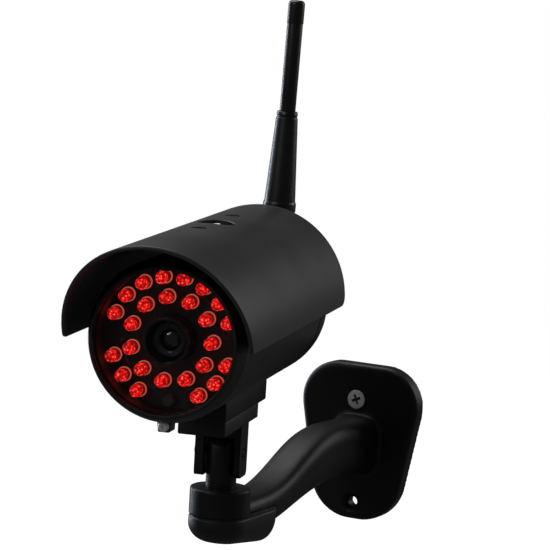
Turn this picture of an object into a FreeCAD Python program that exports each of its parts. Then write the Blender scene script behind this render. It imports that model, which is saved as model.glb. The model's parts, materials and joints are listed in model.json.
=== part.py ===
"""Wireless bullet security camera on a wall bracket, in millimetres.

Row frame: the origin is the centre of the wall plate's back face, +Y goes into the wall, +Z is up and
the bracket arm reaches out along -Y. The camera head has a frame of its own, in which its long axis is
Y, y = 0 is the widest rim of the front bezel and the lens looks along -Y. HEAD puts that frame on the
bracket, panned a little to one side.
"""
import FreeCAD, Part
import math
import os
import Sketcher
from FreeCAD import Placement, Rotation, Vector

doc = FreeCAD.newDocument("SecurityCamera")

# ---------------------------------------------------------------------------------------------------
# Driving dimensions
# ---------------------------------------------------------------------------------------------------
SIZES = [
    # bracket
    ("reach", 133.0, "wall to the upright barrel's axis"),
    ("axis_height", 73.0, "barrel top up to the camera's long axis"),
    ("pan_angle", 14.0, "pan of the camera head at rest, degrees"),
    ("pan_station", 92.0, "front rim back to the pan axis"),
    ("plate_thick", 8.0, "wall plate thickness"),
    ("hole_up", 19.8, "upper wall hole above the plate's centre"),
    ("hole_down", 27.6, "lower wall hole below the plate's centre"),
    ("hole_side", -1.0, "wall holes beside the plate's centre line"),
    ("hole_radius", 2.3, "wall hole radius"),
    ("barrel_radius", 12.8, "upright barrel radius"),
    ("barrel_top", -1.1, "height of the upright barrel's top"),
    ("barrel_tall", 12.6, "origin down to the seam under the barrel"),
    ("cover_near", 12.2, "depth of the cover under the barrel"),
    ("cover_far", 15.0, "depth of the cover's end nearer the wall"),
    ("post_radius", 6.4, "swivel post radius"),
    ("post_fit", 0.05, "running clearance of post and tilt screw"),
    # tilt joint, in the head frame
    ("tilt_drop", 59.0, "tilt axis below the long axis"),
    ("ear_inner", 6.7, "half the gap between the yoke's ears"),
    ("ear_left", 10.4, "left face of the yoke, from the centre"),
    ("ear_right", 9.1, "right face of the yoke, from the centre"),
    ("yoke_web", 52.0, "underside of the yoke's cross piece below the long axis"),
    ("ear_half", 6.0, "half the yoke's depth along Y"),
    ("yoke_top", 46.6, "top of the yoke below the long axis"),
    ("yoke_foot", 69.0, "bottom of the yoke below the long axis"),
    ("tilt_radius", 2.0, "tilt screw shank radius"),
    # rail
    ("rail_half", 11.0, "half width of the rail"),
    ("rail_front", 52.0, "front end of the rail"),
    ("rail_rear", 117.6, "rear end of the rail"),
    ("rail_low", 40.0, "underside of the rail below the long axis"),
    ("block_half", 10.0, "half width of the slide block"),
    ("block_front", 56.0, "front end of the slide block"),
    ("block_rear", 109.3, "rear end of the slide block"),
    # housing
    ("tube_radius", 32.0, "housing outer radius"),
    ("tube_bore", 30.0, "housing inner radius"),
    ("tube_front", 2.0, "front end of the tube"),
    ("tube_rear", 120.2, "rear end of the tube"),
    ("cap_front", 121.2, "front face of the rear cap's flange"),
    ("cap_rear", 133.3, "rear face of the rear cap"),
    ("skirt_radius", 21.3, "spigot of the rear cap, outside"),
    ("boss_ring", 26.0, "radius of the rear screw bosses' circle"),
    ("boss_radius", 4.3, "radius of each rear screw boss"),
    ("boss_front", 100.0, "front end of the rear screw bosses"),
    # front
    ("lip_radius", 27.9, "window opening radius"),
    ("nose", 7.5, "front edge of the bezel ahead of the rim"),
    ("nose_radius", 29.4, "outer radius of the bezel's front edge"),
    ("glass_radius", 28.9, "window glass radius"),
    ("skirt_outer", 29.95, "bezel skirt outer radius"),
    ("skirt_rear", 10.0, "rear end of the bezel skirt"),
    # shield
    ("shield_radius", 37.8, "sunshield outer radius"),
    ("shield_wall", 1.6, "sunshield thickness"),
    ("shield_rise", 2.25, "sunshield centre above the long axis"),
    ("shield_low", 0.2, "lower edges of the sunshield below the long axis"),
    ("shield_nose", 14.7, "sunshield front edge at axis height, ahead of the rim"),
    ("shield_slope", 0.48, "forward slope of the front edge, per mm of height"),
    ("shield_rear", 138.6, "rear end of the sunshield"),
    ("screw_front", 36.3, "front shield screw"),
    ("screw_rear", 87.1, "rear shield screw"),
    ("socket_station", 61.7, "top mounting socket"),
    # antenna
    ("jack_height", 20.0, "antenna jack above the long axis"),
    ("elbow", 163.8, "antenna's fold axis behind the front rim"),
    ("antenna_lean", 1.7, "sideways lean of the antenna at rest, degrees"),
    ("antenna_tall", 106.4, "fold axis up to the antenna's tip"),
    # lamps
    ("outer_ring", 24.0, "radius of the outer lamp ring"),
    ("inner_ring", 16.3, "radius of the inner lamp ring"),
    ("lamp_radius", 2.5, "lamp body radius"),
    ("lamp_flange", 2.9, "lamp flange radius"),
    ("lamp_length", 8.4, "lamp length with its flange"),
    ("board_front", 7.6, "front face of the lamp board"),
    ("board_thick", 1.6, "circuit board thickness"),
]
ALIASES = {alias for alias, _, _ in SIZES}

sheet = doc.addObject("Spreadsheet::Sheet", "Sizes")
for row, (alias, value, note) in enumerate(SIZES, 1):
    sheet.set("A%d" % row, note)
    sheet.set("B%d" % row, str(value))
    sheet.setAlias("B%d" % row, alias)
doc.recompute()


def size(alias):
    """One driving dimension as a number."""
    return float(sheet.get(alias))


def amount(text):
    """Value of a sum of dimensions and numbers, such as 'tube_radius - 2.0'."""
    total = 0.0
    for term in str(text).replace("-", "+-").split("+"):
        term = term.strip()
        if term:
            sign = -1.0 if term.startswith("-") else 1.0
            name = term.lstrip("-").strip()
            total += sign * (size(name) if name in ALIASES else float(name))
    return total


def formula(text):
    """The same sum as a spreadsheet expression."""
    words = str(text).replace("-", " - ").replace("+", " + ").split()
    return " ".join("Sizes." + word if word in ALIASES else word for word in words)


# ---------------------------------------------------------------------------------------------------
# Ways to make a sub-part
# ---------------------------------------------------------------------------------------------------
PIECES = []
PANNED = Rotation(Vector(0, 0, 1), size("pan_angle"))
HEAD = Placement(Vector(0, -size("reach"), size("axis_height")), PANNED)
HEAD = HEAD * Placement(Vector(0, -size("pan_station"), 0), Rotation())
WALL = Placement()
RIGHT, BACK, UP = Vector(1, 0, 0), Vector(0, 1, 0), Vector(0, 0, 1)


def keep(piece, label, place):
    """Label and place a finished sub-part, and list it for writing."""
    piece.Label = label
    piece.Placement = place
    PIECES.append(piece)
    return piece


def new_body(label):
    return doc.addObject("PartDesign::Body", label)


def plane_of(body, role):
    for feature in body.Origin.OriginFeatures:
        if feature.Role == role:
            return feature
    raise ValueError(role)


def new_sketch(body, plane, offset=None):
    """Empty sketch on one of the body's own origin planes, moved along its normal by offset."""
    sketch = body.newObject("Sketcher::SketchObject", body.Name + "_sketch")
    sketch.AttachmentSupport = [(plane_of(body, plane), "")]
    sketch.MapMode = "FlatFace"
    if offset is not None:
        sketch.AttachmentOffset = Placement(Vector(0, 0, amount(offset)), Rotation())
        sketch.setExpression("AttachmentOffset.Base.z", formula(offset))
    return sketch


def fix_point(sketch, index, position, across, along):
    """Set one point out from the sketch's origin, bound to the sheet."""
    for kind, axis, text in (("DistanceX", -2, across), ("DistanceY", -1, along)):
        value = amount(text)
        if abs(value) < 1e-9:
            sketch.addConstraint(Sketcher.Constraint("PointOnObject", index, position, axis))
        else:
            number = sketch.addConstraint(Sketcher.Constraint(kind, -1, 1, index, position, value))
            sketch.setExpression("Constraints[%d]" % number, formula(text))


def draw_outline(sketch, corners):
    """Closed outline of straight edges through corners given as pairs of sums."""
    points = [Vector(amount(across), amount(along), 0) for across, along in corners]
    first = sketch.GeometryCount
    count = len(points)
    for index in range(count):
        sketch.addGeometry(Part.LineSegment(points[index], points[(index + 1) % count]), False)
    for index in range(count):
        following = first + (index + 1) % count
        sketch.addConstraint(Sketcher.Constraint("Coincident", first + index, 2, following, 1))
    for index, (across, along) in enumerate(corners):
        fix_point(sketch, first + index, 1, across, along)


def draw_circles(sketch, circles):
    """Circles given as (across, along, radius), each a sum of dimensions."""
    for across, along, radius in circles:
        centre = Vector(amount(across), amount(along), 0)
        index = sketch.addGeometry(Part.Circle(centre, Vector(0, 0, 1), amount(radius)), False)
        fix_point(sketch, index, 3, across, along)
        number = sketch.addConstraint(Sketcher.Constraint("Radius", index, amount(radius)))
        sketch.setExpression("Constraints[%d]" % number, formula(radius))


def turn(body, corners, axis="Y"):
    """Revolve a profile of (radius, station) corners about the body's Y, Z or X axis."""
    plane = "XZ_Plane" if axis == "Z" else "XY_Plane"
    sketch = new_sketch(body, plane)
    if axis == "X":
        corners = [(station, radius) for radius, station in corners]
    draw_outline(sketch, corners)
    revolution = body.newObject("PartDesign::Revolution", body.Name + "_turned")
    revolution.Profile = sketch
    revolution.ReferenceAxis = (sketch, ["H_Axis" if axis == "X" else "V_Axis"])
    revolution.Angle = 360
    return revolution


def pad(body, sketch, length, both=False, reverse=False):
    feature = body.newObject("PartDesign::Pad", body.Name + "_pad")
    feature.Profile = sketch
    feature.Length = amount(length)
    feature.setExpression("Length", formula(length))
    feature.SideType = "Symmetric" if both else "One side"
    feature.Reversed = reverse
    return feature


def pocket(body, sketch, length=None, both=False, reverse=False):
    """Cut a sketch out of the body; with no length it goes right through."""
    doc.recompute()
    before = body.Shape.Volume
    feature = body.newObject("PartDesign::Pocket", body.Name + "_pocket")
    feature.Profile = sketch
    if length is None:
        feature.Type = "ThroughAll"
    else:
        feature.Length = amount(length)
        feature.setExpression("Length", formula(length))
    feature.SideType = "Symmetric" if both else "One side"
    feature.Reversed = reverse
    doc.recompute()
    if body.Shape.Volume > before - 0.01:
        raise ValueError("a pocket of %s cuts nothing" % body.Name)
    return feature


def turned(label, corners, place=HEAD, axis="Y"):
    """A sub-part that is one turned profile."""
    body = new_body(label)
    turn(body, corners, axis)
    return keep(body, label, place)


def ring(inner, outer, start, end):
    """Corners of a plain ring's profile."""
    return [(inner, start), (outer, start), (outer, end), (inner, end)]


def solid(label, shape, place=HEAD):
    """A sub-part whose shape is set in code."""
    piece = doc.addObject("Part::Feature", label)
    piece.Shape = shape
    return keep(piece, label, place)


def cylinder(radius, length, base, direction):
    return Part.makeCylinder(radius, length, base, direction)


def circle_places(count, radius, start=0.0):
    """Angles in degrees and centres, in the head's XZ plane, of items spread round a circle."""
    for index in range(count):
        angle = start + index * 360.0 / count
        turned_by = math.radians(angle)
        yield angle, Vector(radius * math.cos(turned_by), 0, radius * math.sin(turned_by))


def pan_screw(head_radius, head_height, shank_radius, shank_length, place, direction):
    """Pan-head screw with a cross recess; place is under its head, direction is towards the head."""
    across = Vector(0, 0, 1) if abs(direction.z) < 0.5 else Vector(1, 0, 0)
    head = cylinder(head_radius, head_height, place, direction)
    edge = [e for e in head.Edges if abs((e.CenterOfMass - place).dot(direction) - head_height) < 1e-6]
    head = head.makeFillet(min(head_height, head_radius) * 0.45, edge)
    shank = cylinder(shank_radius, shank_length, place - direction * shank_length, direction)
    body = head.fuse(shank)
    slot_long, slot_wide, slot_deep = head_radius * 1.1, head_radius * 0.22, head_height * 0.5
    for sideways in (across, direction.cross(across)):
        bar = Part.makeBox(slot_long, slot_wide, slot_deep)
        bar.translate(Vector(-slot_long / 2, -slot_wide / 2, 0))
        facing = Rotation(sideways, direction.cross(sideways), direction, "ZXY")
        bar.Placement = Placement(Vector(), facing) * bar.Placement
        bar.translate(place + direction * (head_height - slot_deep))
        body = body.cut(bar)
    return body.removeSplitter()


# ---------------------------------------------------------------------------------------------------
# Bracket
# ---------------------------------------------------------------------------------------------------
PLATE_TOP = (11.0, 17.8, 18.0)
PLATE_FOOT = (2.7, -15.4, 20.0)
ARM_SECTIONS = [
    # distance from the wall, height of the centre, half width, half height
    (4.0, -0.2, 12.6, 14.4),
    (16.0, -0.2, 10.6, 12.2),
    (45.0, 0.6, 10.0, 11.5),
    (75.0, -6.5, 9.6, 9.1),
    (88.0, -10.8, 9.6, 7.8),
    (100.0, -13.6, 9.6, 7.5),
    (126.0, -15.4, 9.8, 8.1),
]


def plate_outline(y, shrink=0.0):
    """Egg-shaped outline: four round corners joined by their common tangents."""
    corners = [(1, PLATE_TOP), (-1, PLATE_TOP), (-1, PLATE_FOOT), (1, PLATE_FOOT)]
    centres = [(side * spec[0], spec[1], spec[2] - shrink) for side, spec in corners]
    joins = []
    for index, (x0, z0, r0) in enumerate(centres):
        x1, z1, r1 = centres[(index + 1) % len(centres)]
        heading = math.atan2(z1 - z0, x1 - x0)
        lean = math.acos((r0 - r1) / math.hypot(x1 - x0, z1 - z0))
        joins.append(heading - lean)
    edges = []
    for index, (x0, z0, r0) in enumerate(centres):
        arrive = joins[index - 1]
        leave = joins[index]
        while leave < arrive:
            leave += 2 * math.pi
        angles = (arrive, (arrive + leave) / 2, leave)
        arc = [Vector(x0 + r0 * math.cos(a), y, z0 + r0 * math.sin(a)) for a in angles]
        x1, z1, r1 = centres[(index + 1) % len(centres)]
        following = Vector(x1 + r1 * math.cos(leave), y, z1 + r1 * math.sin(leave))
        edges.append(Part.Arc(*arc).toShape())
        edges.append(Part.LineSegment(arc[2], following).toShape())
    return Part.Wire(Part.__sortEdges__(edges))


def arm_section(distance, height, half_wide, half_high):
    """Rounded upright section across the arm."""
    power = 0.55
    points = []
    for step in range(24):
        angle = 2 * math.pi * step / 24
        across, along = math.cos(angle), math.sin(angle)
        points.append(Vector(
            math.copysign(abs(across) ** power, across) * half_wide,
            -distance,
            height + math.copysign(abs(along) ** power, along) * half_high,
        ))
    curve = Part.BSplineCurve()
    curve.interpolate(points, PeriodicFlag=True)
    return Part.Wire([curve.toShape()])


def make_bracket():
    reach, thick = size("reach"), size("plate_thick")
    rounding = 2.2
    plate = Part.Face(plate_outline(0)).extrude(Vector(0, -thick, 0))
    front_edges = [e for e in plate.Edges if all(abs(v.Point.y + thick) < 1e-6 for v in e.Vertexes)]
    plate = plate.makeFillet(rounding, front_edges)
    arm = Part.makeLoft([arm_section(*spec) for spec in ARM_SECTIONS], True)
    barrel_foot = Vector(0, -reach, -size("barrel_tall"))
    barrel = cylinder(size("barrel_radius"), size("barrel_tall") + size("barrel_top"), barrel_foot, UP)
    body = plate.fuse([arm, barrel])
    # the cover's seat under the arm, and the flat top of the barrel
    seat = Part.makeBox(60, 60, 40, Vector(-30, -reach - 30, -size("barrel_tall") - 40))
    above = cylinder(size("barrel_radius") + 6, 30, Vector(0, -reach, size("barrel_top")), UP)
    bore = cylinder(size("post_radius") + size("post_fit"), 60, Vector(0, -reach, -30), UP)
    body = body.cut(seat.fuse([above, bore]))
    for height in (size("hole_up"), -size("hole_down")):
        face = Vector(size("hole_side"), -thick, height)
        hole = cylinder(size("hole_radius"), thick + 60, face - BACK * 60, BACK)
        sink = Part.makeCone(4.4, size("hole_radius"), 2.4, face - BACK * 0.001, BACK)
        approach = cylinder(4.4, 60, face - BACK * 60, BACK)
        body = body.cut(hole.fuse([sink, approach]))
    return body.removeSplitter()


COVER_REACH = 23.5


def make_cover():
    """Boat-shaped cover with two round ends, hollow above for the pan bolt, and the seat it needs."""
    reach, seam = size("reach"), -size("barrel_tall") - 0.02
    radius, wall, far = size("barrel_radius"), 2.0, COVER_REACH
    near_deep, far_deep = size("cover_near"), size("cover_far")
    fall = (far_deep - near_deep) / far
    rounding = 8.5

    def slot(r, low, high):
        flat = [Vector(r, -reach, low), Vector(r, -reach + far, low), Vector(0, -reach + far + r, low),
                Vector(-r, -reach + far, low), Vector(-r, -reach, low), Vector(0, -reach - r, low)]
        sides = [Part.LineSegment(flat[0], flat[1]), Part.Arc(flat[1], flat[2], flat[3]),
                 Part.LineSegment(flat[3], flat[4]), Part.Arc(flat[4], flat[5], flat[0])]
        wire = Part.Wire([side.toShape() for side in sides])
        return Part.Face(wire).extrude(Vector(0, 0, high - low))

    def floor_height(y):
        return seam - near_deep - fall * (y + reach)

    low = seam - far_deep - 3.0
    front, rear = -reach - 30, -reach + 60
    side = [Vector(-30, front, floor_height(front)), Vector(-30, rear, floor_height(rear)),
            Vector(-30, rear, low - 30), Vector(-30, front, low - 30)]
    below = Part.Face(Part.makePolygon(side + side[:1])).extrude(Vector(60, 0, 0))
    shell = slot(radius, low, seam).cut(below)
    bottom = [e for e in shell.Edges
              if all(abs(v.Point.z - floor_height(v.Point.y)) < 1e-5 for v in e.Vertexes)]
    shell = shell.makeFillet(rounding, bottom)
    hollow = cylinder(radius - wall - 1.2, 7.4, Vector(0, -reach, seam - 7.4), UP)
    screw_low = seam - far_deep
    screw_hole = cylinder(1.55, far_deep + 1, Vector(0, -reach + COVER_REACH, screw_low - 0.5), UP)
    sink = cylinder(3.0, 4.4, Vector(0, -reach + COVER_REACH, screw_low - 2.0), UP)
    seat = slot(radius + 0.02, low - 1, seam + 0.02)
    return shell.cut(hollow.fuse([screw_hole, sink])), seat


reach, seam = size("reach"), -size("barrel_tall")
cover, cover_seat = make_cover()
COVER_SCREW = Vector(0, -reach + COVER_REACH, seam - size("cover_far") + 2.36)
bracket = make_bracket().cut(cover_seat)
bracket = bracket.cut(cylinder(1.52, 6.5, Vector(0, -reach + COVER_REACH, seam - 0.1), UP))
solid("wall_bracket", bracket.removeSplitter(), WALL)
solid("arm_end_cover", cover, WALL)
solid("cover_screw", pan_screw(2.9, 1.8, 1.5, 16.5, COVER_SCREW, -UP), WALL)

# ---------------------------------------------------------------------------------------------------
# Swivel post: turns in the barrel, drawn about the pan axis with z = 0 at the tilt axis
# ---------------------------------------------------------------------------------------------------
POST = HEAD * Placement(Vector(0, size("pan_station"), -size("tilt_drop")), Rotation())
post_foot = -(size("axis_height") - size("tilt_drop")) + seam + 0.1
post_top = cylinder(size("post_radius"), 10, Vector(), UP).common(
    cylinder(size("post_radius"), 20, Vector(-10, 0, 0), RIGHT))
post = cylinder(size("post_radius"), -post_foot, Vector(0, 0, post_foot), UP).fuse(post_top)
post = post.cut(cylinder(size("tilt_radius") + size("post_fit"), 30, Vector(-15, 0, 0), RIGHT))
post = post.cut(cylinder(2.52, 12, Vector(0, 0, post_foot - 0.1), UP))
solid("swivel_post", post.removeSplitter(), POST)
bolt_seat = Vector(0, 0, post_foot - 1.5)
pan_bolt = pan_screw(4.6, 3.2, 2.5, 12.0, bolt_seat, -UP)
solid("pan_bolt", pan_bolt, POST)
washer = Part.makeCylinder(8.6, 1.2, Vector(0, -reach, seam - 1.32), UP)
washer = washer.cut(cylinder(2.8, 3, Vector(0, -reach, seam - 2), UP))
solid("pan_washer", washer, WALL)

# ---------------------------------------------------------------------------------------------------
# Yoke, tilt screw and rail
# ---------------------------------------------------------------------------------------------------
yoke = new_body("tilt_yoke")
sketch = new_sketch(yoke, "XZ_Plane", "- pan_station")
draw_outline(sketch, [
    ("- ear_left", "- yoke_top - 0.02"), ("ear_right", "- yoke_top - 0.02"), ("ear_right", "- yoke_foot"),
    ("ear_inner", "- yoke_foot"), ("ear_inner", "- yoke_web"), ("- ear_inner", "- yoke_web"),
    ("- ear_inner", "- yoke_foot"), ("- ear_left", "- yoke_foot"),
])
pad(yoke, sketch, "ear_half + ear_half", both=True)
sketch = new_sketch(yoke, "YZ_Plane")
draw_circles(sketch, [("pan_station", "- tilt_drop", "tilt_radius + 0.03")])
pocket(yoke, sketch, both=True)
sketch = new_sketch(yoke, "YZ_Plane", "ear_right - 2.1")
hexagon = [("pan_station + 3.4", "- tilt_drop"), ("pan_station + 1.7", "- tilt_drop + 2.944"),
           ("pan_station - 1.7", "- tilt_drop + 2.944"), ("pan_station - 3.4", "- tilt_drop"),
           ("pan_station - 1.7", "- tilt_drop - 2.944"), ("pan_station + 1.7", "- tilt_drop - 2.944")]
draw_outline(sketch, hexagon)
pocket(yoke, sketch, "3.0", reverse=True)
doc.recompute()
yoke_edges = ["Edge%d" % (number + 1) for number, edge in enumerate(yoke.Shape.Edges)
              if abs(edge.CenterOfMass.z + size("yoke_foot")) < 1e-6 and abs(edge.BoundBox.XLength) > 1]
squared = yoke.Tip
rounded = yoke.newObject("PartDesign::Fillet", "yoke_rounding")
rounded.Base = (squared, yoke_edges)
rounded.Radius = 2.0
keep(yoke, "tilt_yoke", HEAD)

TILT = Vector(0, size("pan_station"), -size("tilt_drop"))
ear_left, ear_right = size("ear_left"), size("ear_right")
tilt_screw = pan_screw(2.9, 1.5, size("tilt_radius"), ear_left + ear_right - 0.1,
                       TILT + Vector(-ear_left - 0.02, 0, 0), -RIGHT)
solid("tilt_screw", tilt_screw)


def hex_prism(across_corners, start, length, direction, hole):
    """Hexagonal nut with a plain hole."""
    side = Vector(0, 1, 0) if abs(direction.y) < 0.5 else Vector(1, 0, 0)
    other = direction.cross(side)
    points = []
    for step in range(7):
        angle = math.radians(60 * step)
        outward = side * math.cos(angle) + other * math.sin(angle)
        points.append(start + outward * across_corners)
    prism = Part.Face(Part.makePolygon(points)).extrude(direction * length)
    if hole:
        prism = prism.cut(cylinder(hole, length + 2, start - direction, direction))
    return prism


nut_seat = TILT + Vector(ear_right - 2.05, 0, 0)
solid("tilt_nut", hex_prism(3.3, nut_seat, 1.9, RIGHT, size("tilt_radius") + 0.03))

rail = new_body("mounting_rail")
sketch = new_sketch(rail, "XZ_Plane", "- rail_rear")
draw_outline(sketch, [("- rail_half", "- rail_low"), ("rail_half", "- rail_low"),
                      ("rail_half", "- 28.0"), ("- rail_half", "- 28.0")])
pad(rail, sketch, "rail_rear - rail_front")
sketch = new_sketch(rail, "XZ_Plane")
draw_circles(sketch, [("0", "0", "tube_radius + 0.02")])
pocket(rail, sketch, both=True)
RAIL_SCREWS = [60.0, 104.0]
sketch = new_sketch(rail, "XY_Plane")
draw_circles(sketch, [("0", str(station), "1.55") for station in RAIL_SCREWS])
pocket(rail, sketch, both=True)
keep(rail, "mounting_rail", HEAD)

block = new_body("slide_block")
sketch = new_sketch(block, "XZ_Plane", "- block_rear")
draw_outline(sketch, [("- block_half", "- yoke_top"), ("block_half", "- yoke_top"),
                      ("block_half", "- rail_low - 0.02"), ("- block_half", "- rail_low - 0.02")])
pad(block, sketch, "block_rear - block_front")
sketch = new_sketch(block, "XY_Plane")
draw_circles(sketch, [("0", str(station), "1.55") for station in RAIL_SCREWS])
pocket(block, sketch, both=True)
sketch = new_sketch(block, "XY_Plane", "- yoke_top")
draw_circles(sketch, [("0", str(station), "3.2") for station in RAIL_SCREWS])
pocket(block, sketch, "2.2", reverse=True)
keep(block, "slide_block", HEAD)

rail_screws = [pan_screw(2.9, 1.9, 1.5, 16.0, Vector(0, station, -size("yoke_top") + 2.15), -UP)
               for station in RAIL_SCREWS]
solid("rail_screws", Part.makeCompound(rail_screws))

# ---------------------------------------------------------------------------------------------------
# Housing
# ---------------------------------------------------------------------------------------------------
CAP_ANGLES = (45, 135, 225, 315)


def ring_points(radius, angles):
    return [Vector(radius * math.cos(math.radians(a)), 0, radius * math.sin(math.radians(a))) for a in angles]


tube = new_body("housing_tube")
turn(tube, ring("tube_bore", "tube_radius", "tube_front", "tube_rear"))
sketch = new_sketch(tube, "XZ_Plane", "- tube_rear")
boss_points = ring_points(size("boss_ring"), CAP_ANGLES)
boss_places = [(str(round(point.x, 4)), str(round(point.z, 4))) for point in boss_points]
draw_circles(sketch, [(across, along, "boss_radius") for across, along in boss_places])
pad(tube, sketch, "tube_rear - boss_front")
sketch = new_sketch(tube, "XZ_Plane", "- tube_rear")
draw_circles(sketch, [(across, along, "1.52") for across, along in boss_places])
pocket(tube, sketch, "16.0", reverse=True)
sketch = new_sketch(tube, "XY_Plane")
draw_circles(sketch, [("0", station, "1.55") for station in ("screw_front", "screw_rear")]
             + [("0", "socket_station", "4.05")])
pocket(tube, sketch, reverse=True)
sketch = new_sketch(tube, "XY_Plane")
draw_circles(sketch, [("0", str(station), "1.52") for station in RAIL_SCREWS])
pocket(tube, sketch)
keep(tube, "housing_tube", HEAD)

cap = new_body("rear_cap")
turn(cap, [("0", "cap_rear - 3.3"), ("28.4", "cap_rear - 3.3"), ("28.4", "cap_front + 2.2"),
           ("skirt_radius", "cap_front + 2.2"), ("skirt_radius", "cap_front"), ("tube_radius", "cap_front"),
           ("tube_radius", "cap_rear - 3.0"), ("tube_radius - 0.9", "cap_rear - 0.9"),
           ("tube_radius - 3.0", "cap_rear"), ("0", "cap_rear")])
sketch = new_sketch(cap, "XZ_Plane", "- cap_front")
draw_circles(sketch, [(across, along, "3.4") for across, along in boss_places])
pad(cap, sketch, "cap_rear - cap_front - 1.0", reverse=True)
sketch = new_sketch(cap, "XZ_Plane", "- cap_rear")
draw_circles(sketch, [(across, along, "1.6") for across, along in boss_places]
             + [("0", "jack_height", "3.25"), ("0", "- 12.0", "4.05")])
pocket(cap, sketch, both=True)
keep(cap, "rear_cap", HEAD)

gasket = new_body("rear_gasket")
turn(gasket, ring("skirt_radius", "tube_radius - 0.6", "tube_rear + 0.01", "cap_front - 0.01"))
sketch = new_sketch(gasket, "XZ_Plane", "- cap_front")
draw_circles(sketch, [(across, along, "1.6") for across, along in boss_places])
pocket(gasket, sketch, both=True)
keep(gasket, "rear_gasket", HEAD)

cap_screws = [pan_screw(2.8, 1.9, 1.5, 26.0, Vector(point.x, size("cap_rear") + 0.01, point.z), BACK)
              for point in boss_points]
solid("cap_screws", Part.makeCompound(cap_screws))

gland = new_body("cable_gland")
turn(gland, [("2.2", "cap_rear - 6.0"), ("4.0", "cap_rear - 6.0"), ("4.0", "cap_rear + 0.02"),
             ("7.0", "cap_rear + 0.02"), ("7.0", "cap_rear + 4.0"), ("5.6", "cap_rear + 4.0"),
             ("5.6", "cap_rear + 8.5"), ("4.4", "cap_rear + 11.0"), ("2.2", "cap_rear + 11.0")])
keep(gland, "cable_gland", HEAD * Placement(Vector(0, 0, -12), Rotation()))

# ---------------------------------------------------------------------------------------------------
# Front
# ---------------------------------------------------------------------------------------------------
bezel = new_body("front_bezel")
turn(bezel, [("lip_radius", "- nose"), ("nose_radius - 0.4", "- nose"), ("nose_radius", "- nose + 0.4"),
             ("tube_radius - 0.5", "- 0.8"), ("tube_radius", "0"), ("tube_radius", "tube_front - 0.02"),
             ("skirt_outer", "tube_front - 0.02"), ("skirt_outer", "skirt_rear"),
             ("skirt_outer - 0.9", "skirt_rear"), ("skirt_outer - 0.9", "- nose + 1.8"),
             ("lip_radius", "- nose + 1.8")])
lug_low = "- tube_radius - 3.9"
sketch = new_sketch(bezel, "XZ_Plane", "- tube_front + 0.02")
draw_outline(sketch, [("- 2.3", lug_low), ("2.3", lug_low), ("3.0", "- tube_radius + 1.2"),
                      ("- 3.0", "- tube_radius + 1.2")])
pad(bezel, sketch, "tube_front - 0.62")
sketch = new_sketch(bezel, "XZ_Plane", "- tube_front")
draw_circles(sketch, [("0", "- tube_radius - 1.4", "1.3")])
pocket(bezel, sketch, both=True)
sketch = new_sketch(bezel, "XZ_Plane", "- 0.6")
draw_circles(sketch, [("0", "- tube_radius - 1.4", "2.35")])
pocket(bezel, sketch, "12.0", reverse=True)
keep(bezel, "front_bezel", HEAD)

lug = new_body("bezel_lug")
sketch = new_sketch(lug, "XZ_Plane", "- 9.0")
draw_outline(sketch, [("- 2.3", lug_low), ("2.3", lug_low), ("2.3", "- 30.5"), ("- 2.3", "- 30.5")])
pad(lug, sketch, "7.0 - 0.02")
sketch = new_sketch(lug, "XZ_Plane")
draw_circles(sketch, [("0", "0", "tube_radius + 0.02")])
pocket(lug, sketch, both=True)
sketch = new_sketch(lug, "XZ_Plane", "- 9.0")
draw_circles(sketch, [("0", "- tube_radius - 1.4", "1.02")])
pocket(lug, sketch, both=True)
keep(lug, "bezel_lug", HEAD)
solid("bezel_screw", pan_screw(2.2, 1.7, 1.0, 8.2, Vector(0, 0.58, -size("tube_radius") - 1.4), -BACK))

turned("window_gasket", ring("lip_radius", "glass_radius", "- nose + 1.82", "- nose + 2.4"))
turned("window_glass", [("0", "- nose + 2.42"), ("glass_radius", "- nose + 2.42"),
                        ("glass_radius", "- nose + 4.4"), ("0", "- nose + 4.4")])
turned("glass_retainer", ring("lip_radius - 0.3", "glass_radius", "- nose + 4.42", "board_front - 0.02"))

# ---------------------------------------------------------------------------------------------------
# Lamp board, lamps and lens
# ---------------------------------------------------------------------------------------------------
LENS_HOLE = 9.4
lamp_board = new_body("led_board")
turn(lamp_board, ring(str(LENS_HOLE), "glass_radius - 0.1", "board_front", "board_front + board_thick"))
keep(lamp_board, "led_board", HEAD)

OUTER_GAPS = (0, 180, 260, 280)


def lamp(centre):
    """Five-millimetre lamp: dome, body and flange, pointing forwards from the board."""
    radius, length = size("lamp_radius"), size("lamp_length")
    seat = Vector(centre.x, size("board_front") - 0.02, centre.z)
    body = cylinder(radius, length - radius, seat, -BACK)
    dome = Part.makeSphere(radius, seat - BACK * (length - radius))
    flange = cylinder(size("lamp_flange"), 1.0, seat, -BACK)
    return body.fuse([dome, flange]).removeSplitter()


outer_all = circle_places(18, size("outer_ring"), 0.0)
outer = [centre for angle, centre in outer_all if round(angle) not in OUTER_GAPS]
inner = [centre for angle, centre in circle_places(11, size("inner_ring"), 0.0)]
solid("outer_leds", Part.makeCompound([lamp(centre) for centre in outer]))
solid("inner_leds", Part.makeCompound([lamp(centre) for centre in inner]))


def chip(centre, angle, long, wide, tall):
    """Small component lying on the front of the lamp board."""
    box = Part.makeBox(long, tall, wide, Vector(-long / 2, 0, -wide / 2))
    box.rotate(Vector(), BACK, -angle)
    box.translate(Vector(centre.x, size("board_front") - 0.02 - tall, centre.z))
    return box


CHIP_RING = 20.3
chips = [chip(centre, angle + 90, 2.0, 1.2, 0.6) for angle, centre in circle_places(9, CHIP_RING, 11.0)]
solid("board_resistors", Part.makeCompound(chips))
sensor_place = Placement(Vector(0, 0, -size("outer_ring")), Rotation())
turned("light_sensor", [("0", "board_front - 2.6"), ("2.1", "board_front - 2.6"),
                        ("2.5", "board_front - 2.2"),
                        ("2.5", "board_front - 0.02"), ("0", "board_front - 0.02")], HEAD * sensor_place)

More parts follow.
